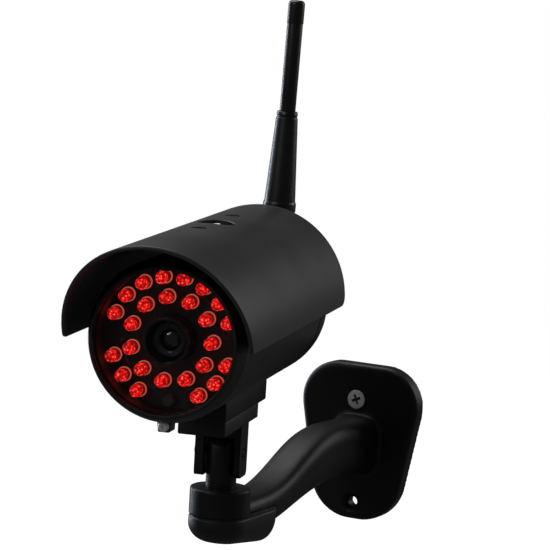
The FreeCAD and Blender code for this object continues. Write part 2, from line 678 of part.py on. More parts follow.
turned("lens_shroud", ring("8.1", "9.2", "- 2.4", "board_front + 6.0"))
turned("lens_barrel", [("4.3", "3.4"), ("6.4", "2.6"), ("7.0", "3.2"), ("7.0", "8.0"), ("6.0", "8.0"),
                       ("6.0", "18.0"), ("3.4", "18.0"), ("3.4", "8.6"), ("4.3", "8.6")])
glass = Part.makeSphere(6.4, Vector(0, 8.9, 0))
glass = glass.common(cylinder(4.25, 5.6, Vector(0, 2.4, 0), BACK))
solid("lens_glass", glass)
holder = new_body("lens_holder")
turn(holder, ring("6.03", "7.6", "12.0", "19.0"))
sketch = new_sketch(holder, "XZ_Plane", "- 24.0")
draw_outline(sketch, [("- 9.0", "- 9.0"), ("9.0", "- 9.0"), ("9.0", "9.0"), ("- 9.0", "9.0")])
pad(holder, sketch, "6.0")
sketch = new_sketch(holder, "XZ_Plane", "- 24.0")
draw_circles(sketch, [("0", "0", "6.03")])
pocket(holder, sketch, "6.0", reverse=True)
keep(holder, "lens_holder", HEAD)

SENSOR_FACE = 24.02


def flat_board(label, half_wide, low, high, face, thick, holes, hole_radius):
    """Upright circuit board or plate with its front face at the given station."""
    body = new_body(label)
    sketch = new_sketch(body, "XZ_Plane", "- %s - %s" % (face, thick))
    left = "- %s" % half_wide
    draw_outline(sketch, [(left, low), (half_wide, low), (half_wide, high), (left, high)])
    draw_circles(sketch, [(across, along, hole_radius) for across, along in holes])
    pad(body, sketch, thick)
    return keep(body, label, HEAD)


def hollow_pillar(radius, length, base, direction):
    """Round pillar with a threaded hole right through."""
    return cylinder(radius, length, base, direction).cut(cylinder(1.22, length, base, direction))


PILLARS = [("14.5", "14.5"), ("- 14.5", "14.5"), ("14.5", "- 14.5"), ("- 14.5", "- 14.5")]
flat_board("sensor_board", "18.0", "- 18.0", "18.0", "24.02", "board_thick", PILLARS, "1.3")
solid("image_sensor", Part.makeBox(8, 1.6, 7, Vector(-4, SENSOR_FACE - 1.62, -3.5)))
pillar_start = size("board_front") + size("board_thick") + 0.02
pillars = [hollow_pillar(1.9, SENSOR_FACE - 0.02 - pillar_start,
                         Vector(amount(across), pillar_start, amount(along)), BACK)
           for across, along in PILLARS]
solid("board_pillars", Part.makeCompound(pillars))
pillar_screws = [pan_screw(2.2, 1.4, 1.2, 9.0, Vector(amount(across), 27.16, amount(along)), BACK)
                 for across, along in PILLARS]
solid("board_screws", Part.makeCompound(pillar_screws))

# ---------------------------------------------------------------------------------------------------
# Electronics on the sled
# ---------------------------------------------------------------------------------------------------
sled = new_body("inner_sled")
sketch = new_sketch(sled, "YZ_Plane")
draw_outline(sketch, [("25.66", "16.8"), ("25.66", "- 18.5"), ("98.0", "- 18.5"), ("98.0", "- 17.0"),
                      ("27.14", "- 17.0"), ("27.14", "16.8")])
pad(sled, sketch, "36.0", both=True)
sketch = new_sketch(sled, "XZ_Plane")
draw_circles(sketch, [(across, along, "1.3") for across, along in PILLARS])
pocket(sled, sketch, both=True)
keep(sled, "inner_sled", HEAD)

BOARD_LOW = -9.0
main_board = new_body("main_board")
sketch = new_sketch(main_board, "XY_Plane", str(BOARD_LOW))
draw_outline(sketch, [("- 17.0", "32.0"), ("17.0", "32.0"), ("17.0", "97.0"), ("- 17.0", "97.0")])
CORNERS = [("13.5", "36.0"), ("- 13.5", "36.0"), ("13.5", "93.0"), ("- 13.5", "93.0")]
draw_circles(sketch, [(across, along, "1.3") for across, along in CORNERS])
pad(main_board, sketch, "board_thick")
keep(main_board, "main_board", HEAD)
SLED_TOP = -16.98


legs = [hollow_pillar(2.3, BOARD_LOW - SLED_TOP - 0.02, Vector(amount(across), amount(along), SLED_TOP), UP)
        for across, along in CORNERS]
solid("main_board_pillars", Part.makeCompound(legs))
leg_screws = [pan_screw(2.2, 1.4, 1.2, 6.0, Vector(amount(across), amount(along), BOARD_LOW + 1.62), UP)
              for across, along in CORNERS]
solid("main_board_screws", Part.makeCompound(leg_screws))
board_top = BOARD_LOW + size("board_thick") + 0.02
can = Part.makeBox(22, 26, 5, Vector(-11, 72, board_top))
solid("radio_can", can.makeFillet(0.8, can.Edges))
capacitors = []
for across, station, radius, tall in ((-10.0, 44.0, 4.0, 12.0), (0.0, 44.0, 4.0, 12.0), (9.0, 45.0, 3.2, 8.0),
                                      (-11.0, 58.0, 3.2, 8.0)):
    drum = cylinder(radius, tall, Vector(across, station, board_top), UP)
    capacitors.append(drum.makeFillet(0.5, [drum.Edges[0]]))
solid("capacitors", Part.makeCompound(capacitors))

# ---------------------------------------------------------------------------------------------------
# Sunshield and top socket
# ---------------------------------------------------------------------------------------------------
shield = new_body("sunshield")
SHIELD_BLANK = 184.0
sketch = new_sketch(shield, "XZ_Plane", "- shield_rear")
half_turn = math.asin((size("shield_rise") + size("shield_low")) / size("shield_radius"))
rise, radius_out = size("shield_rise"), size("shield_radius")
radius_in = radius_out - size("shield_wall")


def shield_point(radius, angle):
    return Vector(radius * math.cos(angle), rise + radius * math.sin(angle), 0)


def arc_and_ends(radius):
    circle = Part.Circle(Vector(0, rise, 0), Vector(0, 0, 1), radius)
    return Part.ArcOfCircle(circle, -half_turn, math.pi + half_turn)


outer_arc = sketch.addGeometry(arc_and_ends(radius_out), False)
inner_arc = sketch.addGeometry(arc_and_ends(radius_in), False)
right_end = sketch.addGeometry(Part.LineSegment(shield_point(radius_out, -half_turn),
                                                shield_point(radius_in, -half_turn)), False)
left_end = sketch.addGeometry(Part.LineSegment(shield_point(radius_out, math.pi + half_turn),
                                               shield_point(radius_in, math.pi + half_turn)), False)
for first, first_end, second, second_end in ((outer_arc, 1, right_end, 1), (inner_arc, 1, right_end, 2),
                                             (outer_arc, 2, left_end, 1), (inner_arc, 2, left_end, 2)):
    sketch.addConstraint(Sketcher.Constraint("Coincident", first, first_end, second, second_end))
fix_point(sketch, outer_arc, 3, "0", "shield_rise")
fix_point(sketch, inner_arc, 3, "0", "shield_rise")
for arc, text in ((outer_arc, "shield_radius"), (inner_arc, "shield_radius - shield_wall")):
    number = sketch.addConstraint(Sketcher.Constraint("Radius", arc, amount(text)))
    sketch.setExpression("Constraints[%d]" % number, formula(text))
for end in (right_end, left_end):
    number = sketch.addConstraint(Sketcher.Constraint("DistanceY", -1, 1, end, 1, -size("shield_low")))
    sketch.setExpression("Constraints[%d]" % number, "- Sizes.shield_low")
    sketch.addConstraint(Sketcher.Constraint("Horizontal", end))
pad(shield, sketch, str(SHIELD_BLANK))
# slanted front: everything ahead of a sloping plane is cut away
sketch = new_sketch(shield, "YZ_Plane")
slope = size("shield_slope")
front_low = -size("shield_nose") + slope * 20.0
front_high = -size("shield_nose") - slope * 60.0
draw_outline(sketch, [(str(round(front_low, 3)), "- 20.0"), (str(round(front_high, 3)), "60.0"),
                      ("- 60.0", "60.0"), ("- 60.0", "- 20.0")])
pocket(shield, sketch, both=True)
# rounded lower rear corners
sketch = new_sketch(shield, "YZ_Plane")
corner = 4.0
draw_outline(sketch, [("shield_rear + 1.0", "- 10.0"), ("shield_rear + 1.0", "- shield_low + %s" % corner),
                      ("shield_rear", "- shield_low + %s" % corner),
                      ("shield_rear - 0.3", "- shield_low + %s" % (corner * 0.62)),
                      ("shield_rear - 1.2", "- shield_low + %s" % (corner * 0.29)),
                      ("shield_rear - 2.5", "- shield_low + %s" % (corner * 0.08)),
                      ("shield_rear - %s" % corner, "- shield_low"), ("shield_rear - %s" % corner, "- 10.0")])
pocket(shield, sketch, both=True)
sketch = new_sketch(shield, "XY_Plane")
draw_circles(sketch, [("0", "screw_front", "1.7"), ("0", "screw_rear", "1.7"),
                      ("0", "socket_station", "7.4")])
pocket(shield, sketch, reverse=True)
sketch = new_sketch(shield, "XY_Plane", "shield_rise + shield_radius - 1.0")
draw_circles(sketch, [("0", "screw_front", "3.1"), ("0", "screw_rear", "3.1")])
pocket(shield, sketch, "5.0", reverse=True)
keep(shield, "sunshield", HEAD)

SHIELD_SCREWS = (size("screw_front"), size("screw_rear"))
under_shield = rise + radius_in - 0.45
spacers = []
for station in SHIELD_SCREWS:
    on_tube = size("tube_radius") + 0.02
    spacer = cylinder(5.0, under_shield - on_tube, Vector(0, station, on_tube), UP)
    spacers.append(spacer.cut(cylinder(1.6, 20, Vector(0, station, 28), UP)))
solid("shield_spacers", Part.makeCompound(spacers))
head_seat = rise + radius_out - 0.98
solid("shield_screws", Part.makeCompound([
    pan_screw(2.9, 0.9, 1.5, 11.5, Vector(0, station, head_seat), UP) for station in SHIELD_SCREWS]))
turned("top_socket", [("2.6", "28.5"), ("4.0", "28.5"), ("4.0", "tube_radius + 0.02"),
                      ("6.8", "tube_radius + 0.02"),
                      ("6.8", "37.4"), ("6.4", "37.8"), ("2.6", "37.8")],
       HEAD * Placement(Vector(0, size("socket_station"), 0), Rotation()), "Z")

# ---------------------------------------------------------------------------------------------------
# Antenna
# ---------------------------------------------------------------------------------------------------
JACK = HEAD * Placement(Vector(0, 0, size("jack_height")), Rotation())
jack = new_body("antenna_jack")
turn(jack, [("0", "cap_rear - 9.0"), ("3.2", "cap_rear - 9.0"), ("3.2", "cap_rear - 3.32"),
            ("3.2", "cap_rear + 9.0"),
            ("0", "cap_rear + 9.0")])
keep(jack, "antenna_jack", JACK)
jack_back = Vector(0, size("cap_rear") + 0.02, size("jack_height"))
solid("jack_nut", hex_prism(4.6, jack_back, 2.2, BACK, 3.22))
nut_start = "cap_rear + 2.6"
turned("antenna_nut", [("3.25", nut_start), ("4.6", nut_start), ("4.9", "cap_rear + 3.0"),
                       ("4.9", "cap_rear + 9.6"),
                       ("4.6", "cap_rear + 10.0"), ("3.25", "cap_rear + 10.0")], JACK)

LEAN = Placement(Vector(), Rotation(BACK, size("antenna_lean")))
ELBOW = JACK * LEAN * Placement(Vector(0, size("elbow"), 0), Rotation())
ELBOW_EAR = 5.2
TONGUE = 2.6
base_start = size("cap_rear") + 10.1 - size("elbow")
base = cylinder(5.2, -base_start - 5.4, Vector(0, base_start, 0), BACK)
base = base.fuse(Part.makeBox(2 * ELBOW_EAR, 6.0, 9.6, Vector(-ELBOW_EAR, -6.0, -4.8)))
base = base.fuse(cylinder(4.8, 2 * ELBOW_EAR, Vector(-ELBOW_EAR, 0, 0), RIGHT))
base = base.cut(Part.makeBox(2 * TONGUE + 0.3, 30, 30, Vector(-TONGUE - 0.15, -5.6, -15)))
base = base.cut(cylinder(1.26, 40, Vector(-20, 0, 0), RIGHT))
base = base.cut(cylinder(3.3, 9.0, Vector(0, base_start - 8.9, 0), BACK))
solid("antenna_base", base.removeSplitter(), ELBOW)
solid("antenna_pin", cylinder(1.24, 2 * ELBOW_EAR - 0.2, Vector(-ELBOW_EAR + 0.1, 0, 0), RIGHT), ELBOW)

sleeve = new_body("sleeve_cone")
turn(sleeve, [("0", "9.0"), ("5.2", "9.0"), ("5.2", "14.2"), ("6.7", "14.4"), ("7.2", "14.9"),
              ("7.2", "18.6"),
              ("6.75", "19.2"), ("4.6", "57.6"), ("4.4", "58.4"), ("0", "58.4")], "Z")
doc.recompute()
tongue = Part.makeBox(2 * TONGUE, 9.0, 9.1, Vector(-TONGUE, -4.5, 0))
tongue = tongue.fuse(cylinder(4.5, 2 * TONGUE, Vector(-TONGUE, 0, 0), RIGHT))
tongue = tongue.fuse(sleeve.Shape).cut(cylinder(1.3, 30, Vector(-15, 0, 0), RIGHT))
solid("antenna_sleeve", tongue.removeSplitter(), ELBOW)
tip = size("antenna_tall")
turned("antenna_rod", [("0", "58.42"), ("3.45", "58.42"), ("3.45", "antenna_tall - 10.0"),
                       ("0", "antenna_tall - 10.0")], ELBOW, "Z")
tip_cap = cylinder(3.6, 10.0, Vector(0, 0, tip - 9.98), UP)
tip_edge = [e for e in tip_cap.Edges if abs(e.CenterOfMass.z - tip) < 0.1]
solid("antenna_cap", tip_cap.makeFillet(2.6, tip_edge), ELBOW)

# ---------------------------------------------------------------------------------------------------
# Checks and files
# ---------------------------------------------------------------------------------------------------
doc.recompute()
for item in doc.Objects:
    if "Invalid" in item.State or "Error" in item.State:
        raise ValueError("%s did not rebuild" % item.Name)
os.makedirs("parts", exist_ok=True)
for piece in PIECES:
    shape = piece.Shape
    if shape.isNull() or not shape.isValid() or not shape.Solids:
        raise ValueError("%s has no valid shape" % piece.Label)
    shape.exportStep("parts/%s.step" % piece.Label)
    print("%-20s %2d solid(s) %9.1f mm3" % (piece.Label, len(shape.Solids), shape.Volume))
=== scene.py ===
"""Looks of the wireless bullet camera on its wall bracket.

Shapes are written in millimetres in the frames that the CAD uses, and meshes are stored in the row
frame in metres. The head frame has y = 0 at the widest rim of the front bezel and its long axis is Y.
It comes from the tilt joint, which crosses it PAN_STATION behind the rim and TILT_DROP below the axis.
"""
import bmesh
import bpy
import json
import math
from mathutils import Matrix, Vector


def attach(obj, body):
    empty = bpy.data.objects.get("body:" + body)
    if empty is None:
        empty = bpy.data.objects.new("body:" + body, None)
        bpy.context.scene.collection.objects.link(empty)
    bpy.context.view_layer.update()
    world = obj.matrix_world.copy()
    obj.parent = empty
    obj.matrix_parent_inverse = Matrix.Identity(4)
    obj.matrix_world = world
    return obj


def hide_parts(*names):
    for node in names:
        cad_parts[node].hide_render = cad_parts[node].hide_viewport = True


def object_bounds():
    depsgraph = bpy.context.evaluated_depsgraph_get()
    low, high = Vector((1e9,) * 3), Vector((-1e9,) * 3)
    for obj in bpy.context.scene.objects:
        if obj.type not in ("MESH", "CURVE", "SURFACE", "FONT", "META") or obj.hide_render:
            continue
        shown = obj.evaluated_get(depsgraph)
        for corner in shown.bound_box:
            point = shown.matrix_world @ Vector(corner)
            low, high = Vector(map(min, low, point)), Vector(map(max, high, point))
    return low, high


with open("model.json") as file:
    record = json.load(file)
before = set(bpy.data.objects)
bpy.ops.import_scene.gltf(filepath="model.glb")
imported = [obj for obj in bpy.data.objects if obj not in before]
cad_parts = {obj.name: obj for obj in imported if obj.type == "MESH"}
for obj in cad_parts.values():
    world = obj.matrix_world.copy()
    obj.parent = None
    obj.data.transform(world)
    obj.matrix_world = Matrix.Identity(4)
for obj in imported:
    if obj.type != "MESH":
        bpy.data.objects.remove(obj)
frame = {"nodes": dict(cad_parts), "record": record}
CAD_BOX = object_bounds()
MM = 0.001

# ---- Frames, from the record's joints ----
JOINTS = {joint["name"]: joint for joint in frame["record"]["behaviour"]["joints"]}
PAN_STATION, TILT_DROP = 92.0, 59.0
JACK_HEIGHT, ELBOW_STATION = 20.0, 163.8


def frame_at(origin, x_axis, z_axis):
    """Matrix from millimetres in a local frame to metres in the row frame."""
    x_axis = Vector(x_axis).normalized()
    y_axis = Vector(z_axis).cross(x_axis).normalized()
    z_axis = x_axis.cross(y_axis)
    turn = Matrix((x_axis, y_axis, z_axis)).transposed().to_4x4()
    return Matrix.Translation(origin) @ turn @ Matrix.Scale(MM, 4)


TILT = frame_at(JOINTS["tilt"]["pos_m"], JOINTS["tilt"]["axis"], (0, 0, 1))
HEAD = TILT @ Matrix.Translation((0, -PAN_STATION, TILT_DROP))
WALL = Matrix.Scale(MM, 4)
PAN = Matrix.Translation(JOINTS["pan"]["pos_m"]) @ Matrix.Scale(MM, 4)
LEAN = math.radians(1.7)
JACK = HEAD @ Matrix.Translation((0, 0, JACK_HEIGHT))
ELBOW = JACK @ Matrix.Rotation(LEAN, 4, "Y") @ Matrix.Translation((0, ELBOW_STATION, 0))
TO_Z = Matrix.Rotation(math.radians(90), 4, "X")       # local Y axis to +Z
TO_X = Matrix.Rotation(math.radians(-90), 4, "Z")      # local Y axis to +X


# ---- Materials ----
def colour(value):
    return (value[0], value[1], value[2], 1.0)


class Finish:
    """One procedural material: a Principled shader with texture nodes in object space."""

    def __init__(self, name, base, rough, metal=0.0):
        self.material = bpy.data.materials.new(name)
        self.material.use_nodes = True
        self.tree = self.material.node_tree
        self.shader = self.tree.nodes["Principled BSDF"]
        self.place = self.tree.nodes.new("ShaderNodeTexCoord")
        self.base = base
        self.set("Base Color", colour(base))
        self.set("Roughness", rough)
        self.set("Metallic", metal)
        self.material.diffuse_color = colour(base)

    def set(self, socket, value):
        self.shader.inputs[socket].default_value = value
        return self

    def node(self, kind, **values):
        node = self.tree.nodes.new(kind)
        for key, value in values.items():
            setattr(node, key, value)
        return node

    def link(self, start, end):
        self.tree.links.new(start, end)

    def noise(self, grain_mm, detail=3.0, rough=0.55, stretch=None):
        """Noise with features about grain_mm across."""
        node = self.node("ShaderNodeTexNoise")
        node.inputs["Scale"].default_value = 1.0 / (grain_mm * MM)
        node.inputs["Detail"].default_value = detail
        node.inputs["Roughness"].default_value = rough
        source = self.place.outputs["Object"]
        if stretch is not None:
            squeeze = self.node("ShaderNodeMapping")
            squeeze.inputs["Scale"].default_value = stretch
            self.link(source, squeeze.inputs["Vector"])
            source = squeeze.outputs["Vector"]
        self.link(source, node.inputs["Vector"])
        return node.outputs["Fac"]

    def ramp(self, source, stops, smooth=False):
        node = self.node("ShaderNodeValToRGB")
        node.color_ramp.interpolation = "EASE" if smooth else "LINEAR"
        elements = node.color_ramp.elements
        while len(elements) < len(stops):
            elements.new(0.5)
        for element, (position, value) in zip(elements, stops):
            element.position = position
            element.color = colour(value) if isinstance(value, tuple) else (value, value, value, 1.0)
        self.link(source, node.inputs["Fac"])
        return node.outputs["Color"]

    def tint(self, source, low, high, start=0.3, end=0.7):
        """Base colour that varies between two multiples of itself."""
        stops = [(start, tuple(c * low for c in self.base)), (end, tuple(c * high for c in self.base))]
        self.link(self.ramp(source, stops), self.shader.inputs["Base Color"])
        return self

    def roughen(self, source, low, high, start=0.3, end=0.7):
        self.link(self.ramp(source, [(start, low), (end, high)]), self.shader.inputs["Roughness"])
        return self

    def bump(self, source, strength, depth_mm):
        node = self.node("ShaderNodeBump")
        node.inputs["Strength"].default_value = strength
        node.inputs["Distance"].default_value = depth_mm * MM
        self.link(source, node.inputs["Height"])
        previous = self.shader.inputs["Normal"]
        if previous.is_linked:
            self.link(previous.links[0].from_socket, node.inputs["Normal"])
        self.link(node.outputs["Normal"], self.shader.inputs["Normal"])
        return self


def powder_coat(name, base, low, high, grain_mm, depth_mm):
    """Satin powder coat: orange peel, fine grain and faint handling marks."""
    finish = Finish(name, base, (low + high) / 2)
    peel = finish.noise(grain_mm * 4.0, 2.0, 0.5)
    grain = finish.noise(grain_mm, 4.0, 0.6)
    cloud = finish.noise(26.0, 3.0, 0.6)
    finish.tint(cloud, 0.85, 1.2).roughen(cloud, low, high)
    finish.bump(peel, 0.35, depth_mm * 2.0).bump(grain, 0.5, depth_mm)
    return finish


def moulded(name, base, low, high, grain_mm=0.35, depth_mm=0.012):
    """Moulded plastic with a fine spark-eroded grain."""
    finish = Finish(name, base, (low + high) / 2)
    grain = finish.noise(grain_mm, 5.0, 0.65)
    cloud = finish.noise(15.0, 2.0, 0.5)
    finish.tint(cloud, 0.85, 1.2).roughen(cloud, low, high)
    finish.bump(grain, 0.6, depth_mm)
    return finish


def metal(name, base, low, high, brushed=None, depth_mm=0.006):
    """Plated or machined metal with tool marks."""
    finish = Finish(name, base, (low + high) / 2, 1.0)
    marks = finish.noise(0.5, 4.0, 0.6, brushed)
    cloud = finish.noise(6.0, 3.0, 0.6)
    finish.tint(cloud, 0.85, 1.08).roughen(cloud, low, high)
    finish.bump(marks, 0.4, depth_mm)
    return finish


FINISHES = {}


def add_finish(slot, finish):
    FINISHES[slot] = finish


black_coat = powder_coat("black_coat", (0.0045, 0.0045, 0.005), 0.40, 0.50, 0.45, 0.02)
add_finish("black_coat", black_coat.set("Specular IOR Level", 0.32))
shield_coat = powder_coat("shield_coat", (0.021, 0.021, 0.022), 0.36, 0.43, 0.32, 0.012)
add_finish("shield_coat", shield_coat.set("Specular IOR Level", 0.6))
add_finish("black_plastic", moulded("black_plastic", (0.0030, 0.0030, 0.0034), 0.45, 0.58))
gloss = moulded("gloss_black", (0.002, 0.002, 0.0022), 0.10, 0.18, 1.2, 0.004)
add_finish("gloss_black", gloss)
add_finish("black_screw", metal("black_screw", (0.045, 0.045, 0.05), 0.35, 0.5))
# mostly diffuse and paler than real plating, a painted brightness standing in for the plating's reflections,
# so that the screws read as light grey in this studio
add_finish("steel", metal("steel", (0.93, 0.92, 0.90), 0.34, 0.48).set("Metallic", 0.25))
add_finish("rubber", moulded("rubber", (0.011, 0.011, 0.011), 0.7, 0.85, 0.6, 0.02))
add_finish("brass", metal("brass", (0.74, 0.56, 0.25), 0.25, 0.4))
add_finish("aluminium", metal("aluminium", (0.62, 0.63, 0.65), 0.32, 0.45, (1.0, 0.08, 1.0)))
add_finish("dark_metal", metal("dark_metal", (0.055, 0.055, 0.06), 0.32, 0.45))
add_finish("antenna_plastic", moulded("antenna_plastic", (0.004, 0.004, 0.0046), 0.30, 0.42, 0.5, 0.008))

chip_finish = moulded("chip", (0.022, 0.020, 0.018), 0.35, 0.5)
add_finish("chip", chip_finish)

board_finish = Finish("circuit_board", (0.0022, 0.0025, 0.0024), 0.5)
track = board_finish.node("ShaderNodeTexVoronoi", feature="DISTANCE_TO_EDGE")
track.inputs["Scale"].default_value = 1.0 / (3.2 * MM)
board_finish.link(board_finish.place.outputs["Object"], track.inputs["Vector"])
tracks = board_finish.ramp(track.outputs["Distance"], [(0.04, 1.0), (0.07, 0.0)])
board_finish.bump(tracks, 0.5, 0.03)
board_finish.roughen(board_finish.noise(4.0), 0.4, 0.55)
board_finish.tint(board_finish.noise(7.0), 0.8, 1.2)
add_finish("circuit_board", board_finish)

window = Finish("window", (0.97, 0.98, 1.0), 0.02)
window.set("Transmission Weight", 1.0).set("IOR", 1.18)
window.roughen(window.noise(9.0, 4.0, 0.6), 0.012, 0.035)
window.bump(window.noise(20.0, 1.0), 0.05, 0.02)
add_finish("window", window)

lens = Finish("lens", (0.0015, 0.0015, 0.0022), 0.04)
lens.set("Coat Weight", 0.6).set("Coat Roughness", 0.02).set("Specular IOR Level", 0.5)
lens.set("Coat Tint", (0.80, 0.78, 1.0, 1.0))
lens.roughen(lens.noise(2.0), 0.03, 0.06)
add_finish("lens", lens)



# ---- Mesh helpers ----
def new_object(name, mesh):
    piece = bpy.data.objects.new(name, mesh)
    bpy.context.scene.collection.objects.link(piece)
    return piece


def from_bmesh(name, bm):
    bmesh.ops.remove_doubles(bm, verts=bm.verts, dist=1e-5)
    bmesh.ops.recalc_face_normals(bm, faces=bm.faces)
    mesh = bpy.data.meshes.new(name)
    bm.to_mesh(mesh)
    bm.free()
    return new_object(name, mesh)


def bake(piece):
    """Apply the piece's modifiers to its mesh."""
    graph = bpy.context.evaluated_depsgraph_get()
    mesh = bpy.data.meshes.new_from_object(piece.evaluated_get(graph))
    piece.modifiers.clear()
    old = piece.data
    piece.data = mesh
    bpy.data.meshes.remove(old)
    return piece


def cut(piece, *cutters, mode="DIFFERENCE"):
    """Cut or join other objects with a Boolean, and remove them."""
    for cutter in cutters:
        tool = piece.modifiers.new("cut", "BOOLEAN")
        tool.object = cutter
        tool.operation = mode
        tool.solver = "EXACT"
        bake(piece)
        bpy.data.objects.remove(cutter)
    return piece


def soften(piece, radius, angle=30.0, segments=3):
    """Round every edge sharper than the angle; the piece is still in millimetres."""
    tool = piece.modifiers.new("round", "BEVEL")
    tool.width = radius
    tool.segments = segments
    tool.limit_method = "ANGLE"
    tool.angle_limit = math.radians(angle)
    tool.harden_normals = False
    tool.use_clamp_overlap = True
    return bake(piece)


REPLACED = set()


def finish_piece(piece, slot, body, place, nodes=(), angle=34.0):
    """Move a millimetre mesh into the row frame and say what it is."""
    piece.data.transform(place)
    piece.data.update()
    for face in piece.data.polygons:
        face.use_smooth = True
    piece.data.set_sharp_from_angle(angle=math.radians(angle))
    piece.data.materials.clear()
    piece.data.materials.append(FINISHES[slot].material)
    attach(piece, body)
    if nodes:
        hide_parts(*nodes)
        REPLACED.update(nodes)
    return piece


def on_head(piece, slot, nodes=(), angle=34.0):
    return finish_piece(piece, slot, "camera", HEAD, nodes, angle)


def bridge(bm, near, far):
    """Faces between two closed rings with the same number of vertices."""
    for index in range(len(near)):
        following = (index + 1) % len(near)
        bm.faces.new((near[index], near[following], far[following], far[index]))


def as_built(name, bm):
    """Object from the mesh as it is, with its faces left the way they point."""
    mesh = bpy.data.meshes.new(name)
    bm.to_mesh(mesh)
    bm.free()
    return new_object(name, mesh)


def rounded_profile(corners, steps=4):
    """Closed profile of (radius, station[, rounding]) corners with its corners rounded."""
    points = []
    count = len(corners)
    for index, corner in enumerate(corners):
        here = Vector(corner[:2])
        rounding = corner[2] if len(corner) > 2 else 0.0
        before = Vector(corners[index - 1][:2]) - here
        after = Vector(corners[(index + 1) % count][:2]) - here
        if rounding <= 0 or before.length < 1e-6 or after.length < 1e-6:
            points.append(here)
            continue
        half = before.angle(after) / 2
        reach = min(rounding / math.tan(half), before.length * 0.48, after.length * 0.48)
        start, end = here + before.normalized() * reach, here + after.normalized() * reach
        centre = here + (before.normalized() + after.normalized()).normalized() * (reach / math.cos(half))
        radius = reach * math.tan(half)
        for step in range(steps + 1):
            share = step / steps
            between = start.lerp(end, share) - centre
            points.append(centre + between.normalized() * radius)
    return points


def lathe(name, corners, segments=64, place=None, steps=4):
    """Turn a closed profile of (radius, station) about the local Y axis."""
    profile = rounded_profile(corners, steps)
    bm = bmesh.new()
    rings = []
    for radius, station in profile:
        if radius < 1e-6:
            rings.append([bm.verts.new((0, station, 0))] * segments)
            continue
        ring = []
        for step in range(segments):
            angle = 2 * math.pi * step / segments
            ring.append(bm.verts.new((radius * math.cos(angle), station, radius * math.sin(angle))))
        rings.append(ring)
    for index in range(len(rings)):
        near, far = rings[index], rings[(index + 1) % len(rings)]
        for step in range(segments):
            following = (step + 1) % segments
            corner = [near[step], near[following], far[following], far[step]]
            unique = list(dict.fromkeys(corner))
            if len(unique) > 2:
                bm.faces.new(unique)
    piece = from_bmesh(name, bm)
    if place is not None:
        piece.data.transform(place)
    return piece


def prism(name, outline, start, end, place=None):
    """Straight prism: an outline of (x, z) points between two stations on Y."""
    bm = bmesh.new()
    near = [bm.verts.new((x, start, z)) for x, z in outline]
    far = [bm.verts.new((x, end, z)) for x, z in outline]
    bm.faces.new(near)
    bm.faces.new(list(reversed(far)))
    for index in range(len(outline)):
        following = (index + 1) % len(outline)
        bm.faces.new((near[index], far[index], far[following], near[following]))
    piece = from_bmesh(name, bm)
    if place is not None:
        piece.data.transform(place)
    return piece


def cuboid(name, low, high, place=None):
    return prism(name, [(low[0], low[2]), (high[0], low[2]), (high[0], high[2]), (low[0], high[2])],
                 low[1], high[1], place)


def rod(name, radius, start, end, place=None, segments=48, rounding=0.0):
    corners = [(0, start), (radius, start, rounding), (radius, end, rounding), (0, end)]
    return lathe(name, corners, segments, place)


def polygon(count, radius, start=0.0):
    return [(radius * math.cos(math.radians(start) + 2 * math.pi * k / count),
             radius * math.sin(math.radians(start) + 2 * math.pi * k / count)) for k in range(count)]


def join(name, pieces):
    """Put several objects' meshes into one object."""
    bm = bmesh.new()
    for piece in pieces:
        bm.from_mesh(piece.data)
        bpy.data.objects.remove(piece)
    return as_built(name, bm)


def copies(name, source, places):
    """One object with a copy of the source at each place; the source is removed."""
    bm = bmesh.new()
    for place in places:
        mesh = source.data.copy()
        mesh.transform(place)
        bm.from_mesh(mesh)
        bpy.data.meshes.remove(mesh)
    bpy.data.objects.remove(source)
    return as_built(name, bm)


def cross_recess(radius, depth, top):
    """Two crossed tapered wedges, open towards +Y at the top station."""
    wedges = []
    for turn in (0, 90):
        bm = bmesh.new()
        rings = []
        for station, long_half, wide_half in ((top - depth, radius * 0.20, radius * 0.10),
                                              (top - depth * 0.55, radius * 0.46, radius * 0.115),
                                              (top + 0.4, radius * 0.66, radius * 0.14)):
            rings.append([bm.verts.new((x * long_half, station, z * wide_half))
                          for x, z in ((-1, -1), (1, -1), (1, 1), (-1, 1))])
        for near, far in zip(rings, rings[1:]):
            bridge(bm, near, far)
        bm.faces.new(rings[0])
        bm.faces.new(rings[-1])
        wedge = from_bmesh("recess", bm)
        wedge.data.transform(Matrix.Rotation(math.radians(turn), 4, "Y"))
        wedges.append(wedge)
    return wedges


def pan_head(name, radius, height, shank_radius, shank_length, turn=20.0):
    """Pan-head screw with a cross recess; under its head is y = 0 and the head is towards +Y."""
    corners = [(0, -shank_length), (shank_radius * 0.6, -shank_length, 0.2),
               (shank_radius, -shank_length * 0.88, 0.2), (shank_radius, 0),
               (radius, 0, 0.12), (radius, height * 0.35, height * 0.35),
               (radius * 0.72, height * 0.86, height), (0, height)]
    screw = lathe(name, corners, 40, steps=5)
    cut(screw, *cross_recess(radius, height * 0.62, height))
    screw.data.transform(Matrix.Rotation(math.radians(turn), 4, "Y"))
    return screw


# ---- Bracket ----
PLATE_FACE = -8.0
UPPER_HOLE, LOWER_HOLE, HOLE_SIDE, HOLE_RADIUS = 19.8, -27.6, -1.0, 2.3
BARREL_TALL, COVER_NEAR, COVER_FAR, COVER_REACH, BARREL_RADIUS = 12.6, 12.2, 15.0, 23.5, 12.8
REACH = -JOINTS["pan"]["pos_m"][1] / MM


def smooth_where(piece, weight, rounds, strength=0.5):
    """Smooth the mesh where weight(point) is above zero."""
    group = piece.vertex_groups.new(name="soft")
    for vertex in piece.data.vertices:
        share = weight(vertex.co)
        if share > 0.01:
            group.add([vertex.index], min(share, 1.0), "REPLACE")
    tool = piece.modifiers.new("soft", "SMOOTH")
    tool.factor = strength
    tool.iterations = rounds
    tool.vertex_group = "soft"
    bake(piece)
    piece.vertex_groups.clear()
    return piece


